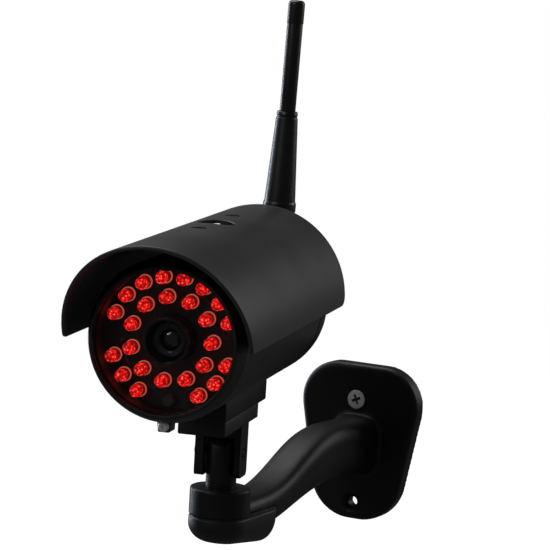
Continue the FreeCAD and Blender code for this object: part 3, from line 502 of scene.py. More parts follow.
def bump_between(value, low, high, edge):
    """1 between low and high, falling to 0 over edge outside them."""
    outside = max(low - value, value - high, 0.0)
    return max(0.0, 1.0 - outside / edge)


def cast_bracket():
    """The CAD shape remeshed finely, with cast fillets grown where arm, plate and barrel meet."""
    source = frame["nodes"]["wall_bracket"]
    mesh = bpy.data.meshes.new("bracket_casting")
    bm = bmesh.new()
    bm.from_mesh(source.data)
    bmesh.ops.remove_doubles(bm, verts=bm.verts, dist=1e-6)
    bm.to_mesh(mesh)
    bm.free()
    casting = new_object("bracket_casting", mesh)
    casting.data.transform(Matrix.Scale(1 / MM, 4))
    voxel = 0.5
    tool = casting.modifiers.new("voxels", "REMESH")
    tool.mode = "VOXEL"
    tool.voxel_size = voxel
    tool.adaptivity = 0.0
    bake(casting)

    def from_hole(point):
        return min(math.hypot(point.x - HOLE_SIDE, point.z - height) for height in (UPPER_HOLE, LOWER_HOLE))

    def everywhere(point):
        near_hole = point.y > PLATE_FACE - 1.0 and from_hole(point) < 6.0
        return 0.0 if near_hole else 1.0

    def root(point):
        clear = min(max((from_hole(point) - 5.0) / 3.0, 0.0), 1.0)
        return clear * bump_between(point.y, -17.0, PLATE_FACE - 0.4, 2.0)

    def crook(point):
        around = math.hypot(point.x, point.y + REACH)
        return bump_between(around, BARREL_RADIUS - 0.2, BARREL_RADIUS + 5.0, 2.0) * bump_between(
            point.z, -BARREL_TALL - 20.0, -2.0, 1.5) * (1.0 if point.y > -REACH + 4.0 else 0.0)

    smooth_where(casting, everywhere, 5)
    smooth_where(casting, root, 60)
    smooth_where(casting, crook, 12)
    return casting


casting = cast_bracket()
finish_piece(casting, "black_coat", "bracket", WALL, ["wall_bracket"], 60.0)


def stadium(radius, reach, steps=28):
    """Outline of the cover: two round ends, the far one nearer the wall."""
    points = []
    for step in range(steps + 1):
        angle = -math.pi + math.pi * step / steps
        points.append((radius * math.cos(angle), radius * math.sin(angle)))
    for step in range(steps + 1):
        angle = math.pi * step / steps
        points.append((radius * math.cos(angle), reach + radius * math.sin(angle)))
    return points


def boat_cover():
    """Cover under the barrel: a boat shape with a large rounded underside and a stepped seam."""
    bm = bmesh.new()
    rounding, lip, deep = 8.5, 0.35, COVER_NEAR
    depths = [(-0.02, lip + 0.35), (-0.12, lip), (-0.75, lip), (-0.9, lip * 0.35), (-1.1, 0.05), (-1.4, 0.0)]
    depths += [(-(deep - rounding), 0.0)]
    for step in range(1, 15):
        angle = math.radians(90 * step / 15)
        depths.append((-(deep - rounding) - rounding * math.sin(angle), rounding * (1 - math.cos(angle))))
    depths.append((-deep, rounding))
    rings = []
    for depth, inset in depths:
        sink = max(-depth - 1.4, 0.0) / (deep - 1.4) * (COVER_FAR - COVER_NEAR) / COVER_REACH
        rings.append([bm.verts.new((x, y, depth - sink * y))
                      for x, y in stadium(BARREL_RADIUS - inset, COVER_REACH)])
    for near, far in zip(rings, rings[1:]):
        bridge(bm, near, far)
    bm.faces.new(rings[0])
    bm.faces.new(rings[-1])
    shell = from_bmesh("end_cover", bm)
    screw_well = rod("well", 3.1, -3.0, 2.5, Matrix.Translation((0, COVER_REACH, -COVER_FAR)) @ TO_Z)
    return cut(shell, screw_well)


SEAM = Matrix.Translation((0, -REACH * MM, -BARREL_TALL * MM)) @ Matrix.Scale(MM, 4)
cover = boat_cover()
finish_piece(cover, "black_plastic", "bracket", SEAM, ["arm_end_cover"], 50.0)
cover_screw = pan_head("cover_screw_head", 2.9, 1.8, 1.5, 12.0)
cover_screw.data.transform(
    Matrix.Translation((0, COVER_REACH, -COVER_FAR + 2.4)) @ Matrix.Rotation(math.pi, 4, "X") @ TO_Z)
finish_piece(cover_screw, "black_screw", "bracket", SEAM, ["cover_screw"])


def plus_outline(reach, half):
    """Outline of a cross whose arms go out to reach and are twice half wide."""
    arm = [(half, -reach), (half, -half), (reach, -half)]
    turns = [[(x, z), (-z, x), (-x, -z), (z, -x)] for x, z in arm]
    return [corner[turn] for turn in range(4) for corner in turns]


def wall_screw():
    """Countersunk screw of the upper wall hole, with its head just proud of the plate."""
    head, foot = 4.3, HOLE_RADIUS - 0.1
    corners = [(0, PLATE_FACE + 2.2), (foot, -5.8, 0.2), (foot, -2.2),
               (head - 0.25, -0.15), (head, 0.05, 0.1), (head - 0.15, 0.30, 0.1), (0, 0.42)]
    screw = lathe("wall_screw", corners, 56, steps=5)
    cut(screw, prism("recess", plus_outline(2.35, 0.62), -1.6, 2.0))
    return screw


# the recess floor is a dark piece, painted shade in the cross recess, so that the cross reads against the
# pale head
wall_screw_place = (Matrix.Translation((HOLE_SIDE, PLATE_FACE - 0.1, UPPER_HOLE)) @
                    Matrix.Rotation(math.pi, 4, "Z") @ Matrix.Rotation(math.radians(24), 4, "Y"))
screw = wall_screw()
screw.data.transform(wall_screw_place)
finish_piece(screw, "steel", "bracket", WALL)
recess_shade_insert = prism("recess_shade_insert", plus_outline(2.34, 0.61), -1.7, -0.45, wall_screw_place)
finish_piece(recess_shade_insert, "black_screw", "bracket", WALL)

# ---- Swivel post, yoke and tilt screw ----
POST_RADIUS, TILT_HEIGHT, BARREL_TOP = 6.4, 14.0, -1.1
EAR_INNER, EAR_LEFT, EAR_RIGHT, EAR_HALF = 6.7, 10.4, 9.1, 6.0
YOKE_TOP, YOKE_WEB, YOKE_FOOT = 46.6, 52.0, 69.0


def swivel_post():
    """Post with a small groove where it leaves the barrel and a top rounded about the tilt axis."""
    top = TILT_HEIGHT + POST_RADIUS
    corners = [(0, -BARREL_TALL + 0.1), (POST_RADIUS, -BARREL_TALL + 0.1, 0.4),
               (POST_RADIUS, BARREL_TOP + 0.4), (POST_RADIUS - 0.2, BARREL_TOP + 0.55),
               (POST_RADIUS - 0.2, BARREL_TOP + 1.0),
               (POST_RADIUS, BARREL_TOP + 1.15), (POST_RADIUS, top), (0, top)]
    post = lathe("pivot_post", corners, 96, TO_Z)
    crown = cuboid("crown", (-10, -10, TILT_HEIGHT), (10, 10, top + 5))
    cut(crown, rod("round", POST_RADIUS, -20, 20, Matrix.Translation((0, 0, TILT_HEIGHT)) @ TO_X, 96))
    hole = rod("hole", 2.05, -10, 10, Matrix.Translation((0, 0, TILT_HEIGHT)) @ TO_X)
    return soften(cut(post, crown, hole), 0.35, 40.0, 3)


post_turn = Matrix.Rotation(math.atan2(JOINTS["tilt"]["axis"][1], JOINTS["tilt"]["axis"][0]), 4, "Z")
finish_piece(swivel_post(), "black_coat", "post", PAN @ post_turn, ["swivel_post"])


def yoke():
    """Two ears with rounded feet under a cross piece, drawn about the tilt axis."""
    top, foot, web = TILT_DROP - YOKE_TOP - 0.02, TILT_DROP - YOKE_FOOT, TILT_DROP - YOKE_WEB
    outline = [(-EAR_LEFT, top), (-EAR_LEFT, foot), (-EAR_INNER, foot), (-EAR_INNER, web),
               (EAR_INNER, web), (EAR_INNER, foot), (EAR_RIGHT, foot), (EAR_RIGHT, top)]
    part = prism("yoke", outline, -EAR_HALF, EAR_HALF)
    # feet rounded about the tilt axis, seen from the side
    rounding = 2.0
    for side in (-1, 1):
        edge = side * (EAR_HALF - rounding)
        near, far = min(edge, side * 20), max(edge, side * 20)
        corner = cuboid("corner", (-20, near, foot - 5), (20, far, foot + rounding))
        round_off = rod("round", rounding, -20, 20, Matrix.Translation((0, edge, foot + rounding)) @ TO_X)
        cut(corner, round_off)
        cut(part, corner)
    cut(part, rod("hole", 2.05, -20, 20, TO_X))
    nut_well = prism("well", polygon(6, 3.4), EAR_RIGHT - 2.1, EAR_RIGHT + 2.0, TO_X)
    cut(part, nut_well)
    return soften(part, 0.55, 40.0, 3)


finish_piece(yoke(), "black_coat", "camera", TILT, ["tilt_yoke"], 40.0)
tilt_screw = pan_head("tilt_screw_head", 2.9, 1.5, 2.0, EAR_LEFT + EAR_RIGHT - 0.1, 35.0)
tilt_screw.data.transform(
    Matrix.Translation((-EAR_LEFT - 0.02, 0, 0)) @ Matrix.Rotation(math.radians(90), 4, "Z"))
finish_piece(tilt_screw, "black_screw", "camera", TILT, ["tilt_screw"])
nut = prism("tilt_lock_nut", polygon(6, 3.3), EAR_RIGHT - 2.05, EAR_RIGHT - 0.15, TO_X)
cut(nut, rod("hole", 2.03, 0, 20, TO_X))
finish_piece(soften(nut, 0.2, 30.0, 2), "black_screw", "camera", TILT, ["tilt_nut"])

# ---- Rail and slide block under the housing ----
RAIL_HALF, RAIL_FRONT, RAIL_REAR, RAIL_LOW = 11.0, 52.0, 117.6, 40.0
BLOCK_HALF, BLOCK_FRONT, BLOCK_REAR = 10.0, 56.0, 109.3
RAIL_SCREWS = (60.0, 104.0)
TUBE_RADIUS, TUBE_BORE, TUBE_FRONT, TUBE_REAR = 32.0, 30.0, 2.0, 120.2


def rail():
    side = [(-RAIL_HALF, -28.0), (-RAIL_HALF, -RAIL_LOW), (RAIL_HALF, -RAIL_LOW), (RAIL_HALF, -28.0)]
    part = prism("rail", side, RAIL_FRONT, RAIL_REAR)
    cut(part, rod("tube", TUBE_RADIUS + 0.02, RAIL_FRONT - 5, RAIL_REAR + 5, None, 160))
    return soften(part, 0.8, 40.0, 3)


on_head(rail(), "black_coat", ["mounting_rail"])


def slide_block():
    part = cuboid("slider", (-BLOCK_HALF, BLOCK_FRONT, -YOKE_TOP), (BLOCK_HALF, BLOCK_REAR, -RAIL_LOW - 0.02))
    for station in RAIL_SCREWS:
        well = rod("well", 3.2, -3.0, 2.2, Matrix.Translation((0, station, -YOKE_TOP)) @ TO_Z)
        cut(part, well)
    return soften(part, 0.7, 40.0, 3)


on_head(slide_block(), "black_plastic", ["slide_block"])
rail_screw = pan_head("rail_screw", 2.9, 1.9, 1.5, 16.0, 10.0)
rail_screw_set = copies("rail_screw_set", rail_screw, [
    Matrix.Translation((0, station, -YOKE_TOP + 2.15)) @ Matrix.Rotation(math.pi, 4, "X") @ TO_Z
    for station in RAIL_SCREWS])
on_head(rail_screw_set, "black_screw", ["rail_screws"])

# ---- Housing ----
CAP_FRONT, CAP_REAR = 121.2, 133.3
BOSS_RING, CAP_ANGLES = 26.0, (45, 135, 225, 315)
GLAND_DROP = 12.0

tube = lathe("housing", [(TUBE_BORE, TUBE_FRONT, 0.3), (TUBE_RADIUS, TUBE_FRONT, 0.35),
                         (TUBE_RADIUS, TUBE_REAR, 0.35), (TUBE_BORE, TUBE_REAR, 0.3)], 192)
on_head(tube, "black_coat", ["housing_tube"])


def ring_place(radius, angle, station):
    turned = math.radians(angle)
    return Matrix.Translation((radius * math.cos(turned), station, radius * math.sin(turned)))


def rear_cap():
    corners = [(0, CAP_REAR - 3.3), (28.4, CAP_REAR - 3.3), (28.4, CAP_FRONT + 2.2), (21.3, CAP_FRONT + 2.2),
               (21.3, CAP_FRONT), (TUBE_RADIUS, CAP_FRONT, 0.3), (TUBE_RADIUS, CAP_REAR, 3.0),
               (24.6, CAP_REAR, 0.4), (24.3, CAP_REAR - 0.45, 0.3), (0, CAP_REAR - 0.45)]
    cap = lathe("end_cap", corners, 160, None, 7)
    for angle in CAP_ANGLES:
        cut(cap, rod("well", 3.6, CAP_REAR - 0.6, CAP_REAR + 3.0, ring_place(BOSS_RING, angle, 0.0), 40))
    return soften(cap, 0.2, 50.0, 2)


on_head(rear_cap(), "black_coat", ["rear_cap"], 40.0)
seal = lathe("cap_seal", [(21.3, TUBE_REAR + 0.01), (TUBE_RADIUS - 0.6, TUBE_REAR + 0.01, 0.2),
                          (TUBE_RADIUS - 0.6, CAP_FRONT - 0.01, 0.2), (21.3, CAP_FRONT - 0.01)], 128)
on_head(seal, "rubber", ["rear_gasket"])
cap_screw = pan_head("cap_screw", 2.8, 1.9, 1.5, 26.0, 25.0)
seats = [ring_place(BOSS_RING, angle, CAP_REAR - 0.58) for angle in CAP_ANGLES]
on_head(copies("cap_screw_set", cap_screw, seats), "steel", ["cap_screws"])


def cable_gland():
    """Gland with a hexagonal flange, a round nut and a tapered mouth."""
    place = Matrix.Translation((0, 0, -GLAND_DROP))
    corners = [(2.2, CAP_REAR - 6.0), (4.0, CAP_REAR - 6.0), (4.0, CAP_REAR - 0.4),
               (7.0, CAP_REAR - 0.4, 0.3), (7.0, CAP_REAR + 4.0, 0.6),
               (5.6, CAP_REAR + 4.0, 0.3), (5.6, CAP_REAR + 8.5, 0.8),
               (4.4, CAP_REAR + 11.0, 0.8), (2.2, CAP_REAR + 11.0, 0.6)]
    body = lathe("gland", corners, 72)
    for index in range(6):
        flat = cuboid("flat", (-6, CAP_REAR + 0.4, 6.2), (6, CAP_REAR + 4.5, 9.0))
        flat.data.transform(Matrix.Rotation(math.radians(60 * index), 4, "Y"))
        cut(body, flat)
    body.data.transform(place)
    return body


on_head(cable_gland(), "black_plastic", ["cable_gland"])

# ---- Front of the housing ----
NOSE, LIP_RADIUS, GLASS_RADIUS, NOSE_RADIUS = 7.5, 27.9, 28.9, 29.4
BOARD_FRONT = 7.6
LUG_DROP, LUG_LOW, LUG_HALF = TUBE_RADIUS + 1.4, TUBE_RADIUS + 3.9, 2.3

bezel = lathe("bezel", [(LIP_RADIUS, -NOSE, 0.35), (NOSE_RADIUS, -NOSE, 0.5), (TUBE_RADIUS, -0.3, 0.8),
                        (TUBE_RADIUS, TUBE_FRONT - 0.02, 0.25), (29.95, TUBE_FRONT - 0.02), (29.95, 10.0),
                        (29.05, 10.0), (29.05, -NOSE + 1.8), (LIP_RADIUS, -NOSE + 1.8, 0.2)], 192)


def bezel_ear():
    """Small tapered ear under the bezel for its clamping screw."""
    high = -TUBE_RADIUS + 1.2
    outline = [(-LUG_HALF, -LUG_LOW), (LUG_HALF, -LUG_LOW), (3.0, high), (-3.0, high)]
    ear = prism("ear", outline, 0.6, TUBE_FRONT - 0.02)
    cut(ear, rod("hole", 1.3, -5, 5, Matrix.Translation((0, 0, -LUG_DROP))))
    return soften(ear, 0.4, 40.0, 3)


cut(bezel, rod("relief", 2.35, -12, 0.6, Matrix.Translation((0, 0, -LUG_DROP))))
bezel = join("front_ring", [bezel, bezel_ear()])
on_head(bezel, "black_plastic", ["front_bezel"])
lug = cuboid("lug", (-LUG_HALF, TUBE_FRONT, -LUG_LOW), (LUG_HALF, 9.0, -30.5))
cut(lug, rod("tube", TUBE_RADIUS + 0.02, -5, 15, None, 160))
on_head(soften(lug, 0.4, 40.0, 3), "black_plastic", ["bezel_lug"])
ear_screw = pan_head("ear_screw", 2.2, 1.7, 1.0, 8.2, 15.0)
ear_screw.data.transform(Matrix.Translation((0, 0.58, -LUG_DROP)) @ Matrix.Rotation(math.pi, 4, "Z"))
on_head(ear_screw, "steel", ["bezel_screw"])

pane = lathe("pane", [(0, -NOSE + 2.42), (GLASS_RADIUS, -NOSE + 2.42, 0.15),
                      (GLASS_RADIUS, -NOSE + 4.4, 0.15), (0, -NOSE + 4.4)], 160)
on_head(pane, "window", ["window_glass"])
WALL_RADIUS = LIP_RADIUS - 0.3
retainer = lathe("inner_wall", [(WALL_RADIUS, -NOSE + 4.42, 0.3), (GLASS_RADIUS, -NOSE + 4.42),
                                (GLASS_RADIUS, BOARD_FRONT - 0.02), (WALL_RADIUS, BOARD_FRONT - 0.02)], 160)
on_head(retainer, "black_plastic", ["glass_retainer"])

# ---- Lamps ----
OUTER_RING, INNER_RING = 24.0, 16.3
OUTER_COUNT, INNER_COUNT, OUTER_GAPS = 18, 11, (0, 9, 13, 14)
LAMP_RADIUS, LAMP_FLANGE, LAMP_LENGTH = 2.5, 2.9, 8.4

# colour sockets of a Mix node, which share their names with its number and vector sockets
MIX_A, MIX_B, MIX_RESULT = 6, 7, 2


def lamp_finish():
    """Red plastic that glows faintly: painted glints speckle the dome, the glow fades so the body is darker,
    and a painted warm highlight line sits where the flange starts.
    """
    finish = Finish("red_lamp", (0.42, 0.003, 0.003), 0.12)
    finish.set("Transmission Weight", 0.4).set("IOR", 1.5)
    axis = (HEAD.to_3x3() @ Vector((0, 1, 0))).normalized()
    start = HEAD.translation.dot(axis) + (BOARD_FRONT - LAMP_LENGTH) * MM
    station = finish.node("ShaderNodeVectorMath", operation="DOT_PRODUCT")
    station.inputs[1].default_value = axis
    finish.link(finish.place.outputs["Object"], station.inputs[0])
    along = finish.node("ShaderNodeMapRange")
    along.inputs["From Min"].default_value = start
    along.inputs["From Max"].default_value = start + LAMP_LENGTH * MM
    finish.link(station.outputs["Value"], along.inputs["Value"])
    facets = finish.node("ShaderNodeTexVoronoi", feature="F1")
    facets.inputs["Scale"].default_value = 1.0 / (1.1 * MM)
    finish.link(finish.place.outputs["Object"], facets.inputs["Vector"])
    # painted glints: Voronoi specks of bright emission stand for reflections inside the dome
    painted_glint_stops = [(0.06, (1.0, 0.30, 0.20)), (0.26, (0.85, 0.012, 0.010)), (0.70, (0.16, 0.001, 0.001))]
    fall = [(0.0, 1.0), (0.30, 0.9), (0.48, 0.25), (0.80, 0.10), (1.0, 0.02)]
    painted_glints = finish.ramp(facets.outputs["Distance"], painted_glint_stops, True)
    body = finish.ramp(along.outputs["Result"], fall)
    # painted highlight: a warm ring of emission where the flange starts stands for light caught inside the
    # lamp
    line = finish.ramp(along.outputs["Result"], [(0.82, 0.0), (0.86, 0.6), (0.885, 0.6), (0.92, 0.0)])
    glow = finish.node("ShaderNodeMix", data_type="RGBA", blend_type="MULTIPLY")
    glow.inputs["Factor"].default_value = 1.0
    finish.link(painted_glints, glow.inputs[MIX_A])
    finish.link(body, glow.inputs[MIX_B])
    rim = finish.node("ShaderNodeMix", data_type="RGBA")
    finish.link(line, rim.inputs["Factor"])
    finish.link(glow.outputs[MIX_RESULT], rim.inputs[MIX_A])
    # colour of the painted highlight line
    rim.inputs[MIX_B].default_value = (0.55, 0.12, 0.07, 1.0)
    finish.link(rim.outputs[MIX_RESULT], finish.shader.inputs["Emission Color"])
    finish.set("Emission Strength", 1.15)
    finish.roughen(finish.noise(1.2), 0.08, 0.16)
    finish.bump(finish.noise(1.0, 2.0), 0.3, 0.08)
    return finish


def lamp_body():
    """Five-millimetre lamp, its dome towards -Y and its flange on the board at y = 0."""
    shoulder = -(LAMP_LENGTH - LAMP_RADIUS)
    corners = [(0, 0), (LAMP_FLANGE, 0, 0.15), (LAMP_FLANGE, -1.0, 0.15), (LAMP_RADIUS, -1.0, 0.1),
               (LAMP_RADIUS, shoulder)]
    for step in range(1, 12):
        angle = math.radians(90 * step / 12)
        corners.append((LAMP_RADIUS * math.cos(angle), shoulder - LAMP_RADIUS * math.sin(angle)))
    corners.append((0, -LAMP_LENGTH))
    return lathe("lamp", corners, 32, None, 2)


def lamp_frame():
    """Lead frame inside a lamp: a bright cup on one post, and a flag on the other."""
    corners = [(0, -4.3), (0.55, -4.3, 0.1), (1.05, -5.35), (1.2, -5.35), (0.95, -3.6, 0.2), (0, -3.6)]
    cup = lathe("cup", corners, 20)
    post = cuboid("post", (-0.95, -3.7, -0.25), (0.15, -0.2, 0.25))
    flag = cuboid("flag", (0.5, -4.6, -0.25), (1.35, -0.2, 0.25))
    return join("lead_frame", [cup, soften(post, 0.06), soften(flag, 0.06)])


def ring_places(count, radius, gaps=()):
    places = []
    for index in range(count):
        if index in gaps:
            continue
        angle = 360.0 * index / count
        places.append(ring_place(radius, angle, BOARD_FRONT - 0.02))
    return places


add_finish("red_lamp", lamp_finish())
outer_places = ring_places(OUTER_COUNT, OUTER_RING, OUTER_GAPS)
inner_places = ring_places(INNER_COUNT, INNER_RING)
on_head(copies("outer_lamps", lamp_body(), outer_places), "red_lamp", ["outer_leds"], 50.0)
on_head(copies("inner_lamps", lamp_body(), inner_places), "red_lamp", ["inner_leds"], 50.0)
spin = [place @ Matrix.Rotation(math.radians(37.0 * index), 4, "Y")
        for index, place in enumerate(outer_places + inner_places)]
on_head(copies("lamp_lead_frames", lamp_frame(), spin), "steel")

# ---- Lens ----
shroud = lathe("lens_tube", [(8.1, -2.4, 0.3), (9.2, -2.4, 0.3), (9.2, BOARD_FRONT + 6.0),
                             (8.1, BOARD_FRONT + 6.0)], 96)
on_head(shroud, "gloss_black", ["lens_shroud"])
barrel = lathe("lens_body", [(4.3, 3.0, 0.15), (5.2, 2.75, 0.3), (6.2, 2.65, 0.3), (7.0, 3.2, 0.3),
                             (7.0, 4.4, 0.1), (6.8, 4.5), (6.8, 4.8), (7.0, 4.9, 0.1), (7.0, 8.0, 0.2),
                             (6.0, 8.0), (6.0, 18.0), (3.4, 18.0), (3.4, 8.6), (4.3, 8.6)], 96)
on_head(barrel, "black_plastic", ["lens_barrel"])


def lens_dome():
    centre, radius, rim = 8.9, 6.4, 4.25
    limit = math.asin(rim / radius)
    corners = [(0, 8.0), (rim, 8.0), (rim, centre - radius * math.cos(limit))]
    for step in range(1, 14):
        angle = limit * (1 - step / 14)
        corners.append((radius * math.sin(angle), centre - radius * math.cos(angle)))
    corners.append((0, centre - radius))
    return lathe("lens_dome", corners, 72)


on_head(lens_dome(), "lens", ["lens_glass"], 50.0)

# ---- Sunshield ----
SHIELD_RADIUS, SHIELD_WALL, SHIELD_RISE, SHIELD_LOW = 37.8, 1.6, 2.25, 0.2
SHIELD_NOSE, SHIELD_SLOPE, SHIELD_REAR, SHIELD_CORNER = 14.7, 0.48, 138.6, 4.0
SCREW_FRONT, SCREW_REAR, SOCKET_STATION, SOCKET_HOLE = 36.3, 87.1, 61.7, 7.4


def shield_sheet():
    """Rolled sheet with rounded edges: layers from the outer face round the rim to the inner face."""
    end = math.asin((SHIELD_RISE + SHIELD_LOW) / SHIELD_RADIUS)
    across, along = ((176, 90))
    edge = 0.55
    turns = [math.radians(90 * step / 4) for step in range(5)]
    layers = [(edge * (1 - math.cos(turn)), edge * (1 - math.sin(turn))) for turn in turns]
    layers += [(SHIELD_WALL - depth, inset) for depth, inset in reversed(layers)]

    def point(share, reach, depth, inset):
        """share runs round the arc and reach runs from the front edge to the rear, both 0 to 1."""
        pinch = inset / SHIELD_RADIUS
        angle = -end + pinch + share * (math.pi + 2 * end - 2 * pinch)
        high = SHIELD_RISE + SHIELD_RADIUS * math.sin(angle)
        from_edge = min(angle + end, math.pi + end - angle) * SHIELD_RADIUS
        front = -SHIELD_NOSE - SHIELD_SLOPE * high + inset
        rear = SHIELD_REAR - inset
        corner = SHIELD_CORNER - inset
        lack = corner - (from_edge - inset)
        if lack > 0:
            rear -= corner - math.sqrt(max(corner * corner - lack * lack, 0.0))
            small = corner * 0.35
            if lack > corner - small:
                gap = small - (from_edge - inset)
                front += small - math.sqrt(max(small * small - gap * gap, 0.0))
        radius = SHIELD_RADIUS - depth
        station = front + reach * (rear - front)
        return (radius * math.cos(angle), station, SHIELD_RISE + radius * math.sin(angle))

    def spread(index, count):
        """Even spacing with extra rows close to both ends."""
        even = index / count
        return even - 0.8 * math.sin(2 * math.pi * even) / (2 * math.pi)

    bm = bmesh.new()

    def vertex(i, j, depth, inset):
        return bm.verts.new(point(spread(i, across), spread(j, along), depth, inset))

    def face_grid(depth, inset):
        return [[vertex(i, j, depth, inset) for j in range(along + 1)] for i in range(across + 1)]

    outer, inner = face_grid(*layers[0]), face_grid(*layers[-1])
    for grid in (outer, inner):
        for i in range(across):
            for j in range(along):
                bm.faces.new((grid[i][j], grid[i + 1][j], grid[i + 1][j + 1], grid[i][j + 1]))
    loop = [(i, 0) for i in range(across)] + [(across, j) for j in range(along)]
    loop += [(i, along) for i in range(across, 0, -1)] + [(0, j) for j in range(along, 0, -1)]
    previous = [outer[i][j] for i, j in loop]
    for depth, inset in layers[1:-1]:
        ring = [vertex(i, j, depth, inset) for i, j in loop]
        bridge(bm, previous, ring)
        previous = ring
    bridge(bm, previous, [inner[i][j] for i, j in loop])
    return from_bmesh("shield", bm)


def hole_cutter(station, radius, flare, depth=6.0):
    """Round cutter with a small flare that follows the shield's curved outer face."""
    bm = bmesh.new()
    segments = 72
    rings = []
    for grow, below in ((flare + 0.5, -0.5), (flare, 0.0), (0.0, flare), (0.0, depth)):
        ring = []
        for step in range(segments):
            angle = 2 * math.pi * step / segments
            x, y = (radius + grow) * math.cos(angle), (radius + grow) * math.sin(angle)
            top = SHIELD_RISE + math.sqrt(SHIELD_RADIUS ** 2 - x * x)
            ring.append(bm.verts.new((x, station + y, top - below)))
        rings.append(ring)
    for near, far in zip(rings, rings[1:]):
        bridge(bm, near, far)
    for ring in (rings[0], rings[-1]):
        centre = bm.verts.new(sum((vertex.co for vertex in ring), Vector()) / segments)
        for step in range(segments):
            bm.faces.new((ring[step], ring[(step + 1) % segments], centre))
    return from_bmesh("cutter", bm)


def sunshield():
    sheet = shield_sheet()
    for station, radius in ((SOCKET_STATION, SOCKET_HOLE), (SCREW_FRONT, 1.7), (SCREW_REAR, 1.7)):
        cut(sheet, hole_cutter(station, radius, 0.3))
    for station in (SCREW_FRONT, SCREW_REAR):
        place = Matrix.Translation((0, station, 0)) @ TO_Z
        cut(sheet, rod("well", 3.1, SHIELD_RISE + SHIELD_RADIUS - 1.0, 60, place))
    return sheet


on_head(sunshield(), "shield_coat", ["sunshield"], 38.0)

UNDER_SHIELD = SHIELD_RISE + SHIELD_RADIUS - SHIELD_WALL - 0.45
spacer = lathe("spacer", [(1.6, TUBE_RADIUS + 0.02), (5.0, TUBE_RADIUS + 0.02, 0.3), (5.0, UNDER_SHIELD, 0.3),
                          (1.6, UNDER_SHIELD)], 48, TO_Z)
stations = [Matrix.Translation((0, station, 0)) for station in (SCREW_FRONT, SCREW_REAR)]
on_head(copies("spacers", spacer, stations), "black_plastic", ["shield_spacers"])
shield_screw = pan_head("shield_screw", 2.9, 0.9, 1.5, 11.5, 30.0)
HEAD_SEAT = SHIELD_RISE + SHIELD_RADIUS - 0.98
seats = [place @ Matrix.Translation((0, 0, HEAD_SEAT)) @ TO_Z for place in stations]
on_head(copies("shield_screw_set", shield_screw, seats), "black_screw", ["shield_screws"])
socket = lathe("stand_socket", [(2.6, 28.5), (4.0, 28.5), (4.0, TUBE_RADIUS + 0.02),
                                (6.8, TUBE_RADIUS + 0.02, 0.2),
                                (6.8, 37.8, 0.5), (3.4, 37.8, 0.1), (2.6, 37.0)], 72, TO_Z)
socket.data.transform(Matrix.Translation((0, SOCKET_STATION, 0)))
on_head(socket, "dark_metal", ["top_socket"])

# ---- Antenna ----
jack_nut = prism("jack_lock_nut", polygon(6, 4.6, 30.0), CAP_REAR - 0.4, CAP_REAR + 2.2)
cut(jack_nut, rod("hole", 3.22, 100, 160))
finish_piece(soften(jack_nut, 0.3, 30.0, 2), "brass", "camera", JACK, ["jack_nut"])


def knurled_nut():
    """Turning nut of the antenna with fine straight knurls."""
    start, teeth = CAP_REAR + 2.6, 36
    corners = [(3.25, start, 0.1), (4.6, start, 0.2), (4.9, start + 0.5, 0.1), (4.9, start + 6.9, 0.1),
               (4.6, start + 7.4, 0.2), (3.25, start + 7.4, 0.1)]
    nut = lathe("knurled_nut", corners, teeth * 4)
    for vertex in nut.data.vertices:
        around = math.hypot(vertex.co.x, vertex.co.z)
        inside = bump_between(vertex.co.y, start + 0.45, start + 7.0, 0.2)
        if around > 4.3 and inside > 0:
            angle = math.atan2(vertex.co.z, vertex.co.x)
            shrink = 1.0 - 0.035 * inside * (0.5 - 0.5 * math.cos(teeth * angle))
            vertex.co.x *= shrink
            vertex.co.z *= shrink
    return nut


finish_piece(knurled_nut(), "brass", "camera", JACK, ["antenna_nut"], 50.0)
FORK_HALF, TONGUE = 5.2, 2.6
BASE_START = CAP_REAR + 10.1 - ELBOW_STATION


def antenna_fork():
    stem = lathe("fork", [(0, BASE_START), (5.2, BASE_START, 0.5), (5.2, -5.4, 0.4), (0, -5.4)], 72)
    yoke_block = cuboid("block", (-FORK_HALF, -6.0, -4.8), (FORK_HALF, 0, 4.8))
    eye = rod("eye", 4.8, -FORK_HALF, FORK_HALF, TO_X, 72)
    cut(stem, yoke_block, eye, mode="UNION")
    cut(stem, cuboid("gap", (-TONGUE - 0.15, -5.6, -15), (TONGUE + 0.15, 25, 15)),
        rod("pin", 1.26, -20, 20, TO_X))
    return soften(stem, 0.35, 40.0, 3)


finish_piece(antenna_fork(), "antenna_plastic", "antenna_elbow", ELBOW, ["antenna_base"], 40.0)
pin = rod("hinge_pin", 1.24, -FORK_HALF + 0.1, FORK_HALF - 0.1, TO_X, 32, 0.2)
finish_piece(pin, "steel", "antenna_elbow", ELBOW, ["antenna_pin"])


def antenna_sleeve():
    corners = [(0, 9.0), (5.2, 9.0, 0.4), (5.2, 14.2, 0.3), (6.75, 14.4, 0.4), (7.2, 15.2, 0.5),
               (7.2, 18.4, 0.6), (6.75, 19.3, 0.5), (4.75, 55.4, 0.4), (4.4, 55.9, 0.2), (4.4, 56.5, 0.2),
               (4.65, 57.0, 0.3), (4.4, 58.4, 0.4), (0, 58.4)]
    cone = lathe("sleeve", corners, 96, TO_Z)
    tongue = cuboid("tongue", (-TONGUE, -4.5, 0), (TONGUE, 4.5, 9.1))
    eye = rod("eye", 4.5, -TONGUE, TONGUE, TO_X, 72)
    cut(cone, tongue, eye, mode="UNION")
    return cut(cone, rod("pin", 1.3, -20, 20, TO_X))


finish_piece(antenna_sleeve(), "antenna_plastic", "antenna", ELBOW, ["antenna_sleeve"], 38.0)
TIP = 106.38
mast = rod("mast", 3.45, 58.42, TIP - 10.0, TO_Z, 64, 0.1)
finish_piece(mast, "antenna_plastic", "antenna", ELBOW, ["antenna_rod"])
cap = lathe("mast_cap", [(0, TIP - 9.98), (3.6, TIP - 9.98, 0.3), (3.6, TIP, 2.6), (0, TIP)], 64, TO_Z, 8)
finish_piece(cap, "antenna_plastic", "antenna", ELBOW, ["antenna_cap"])
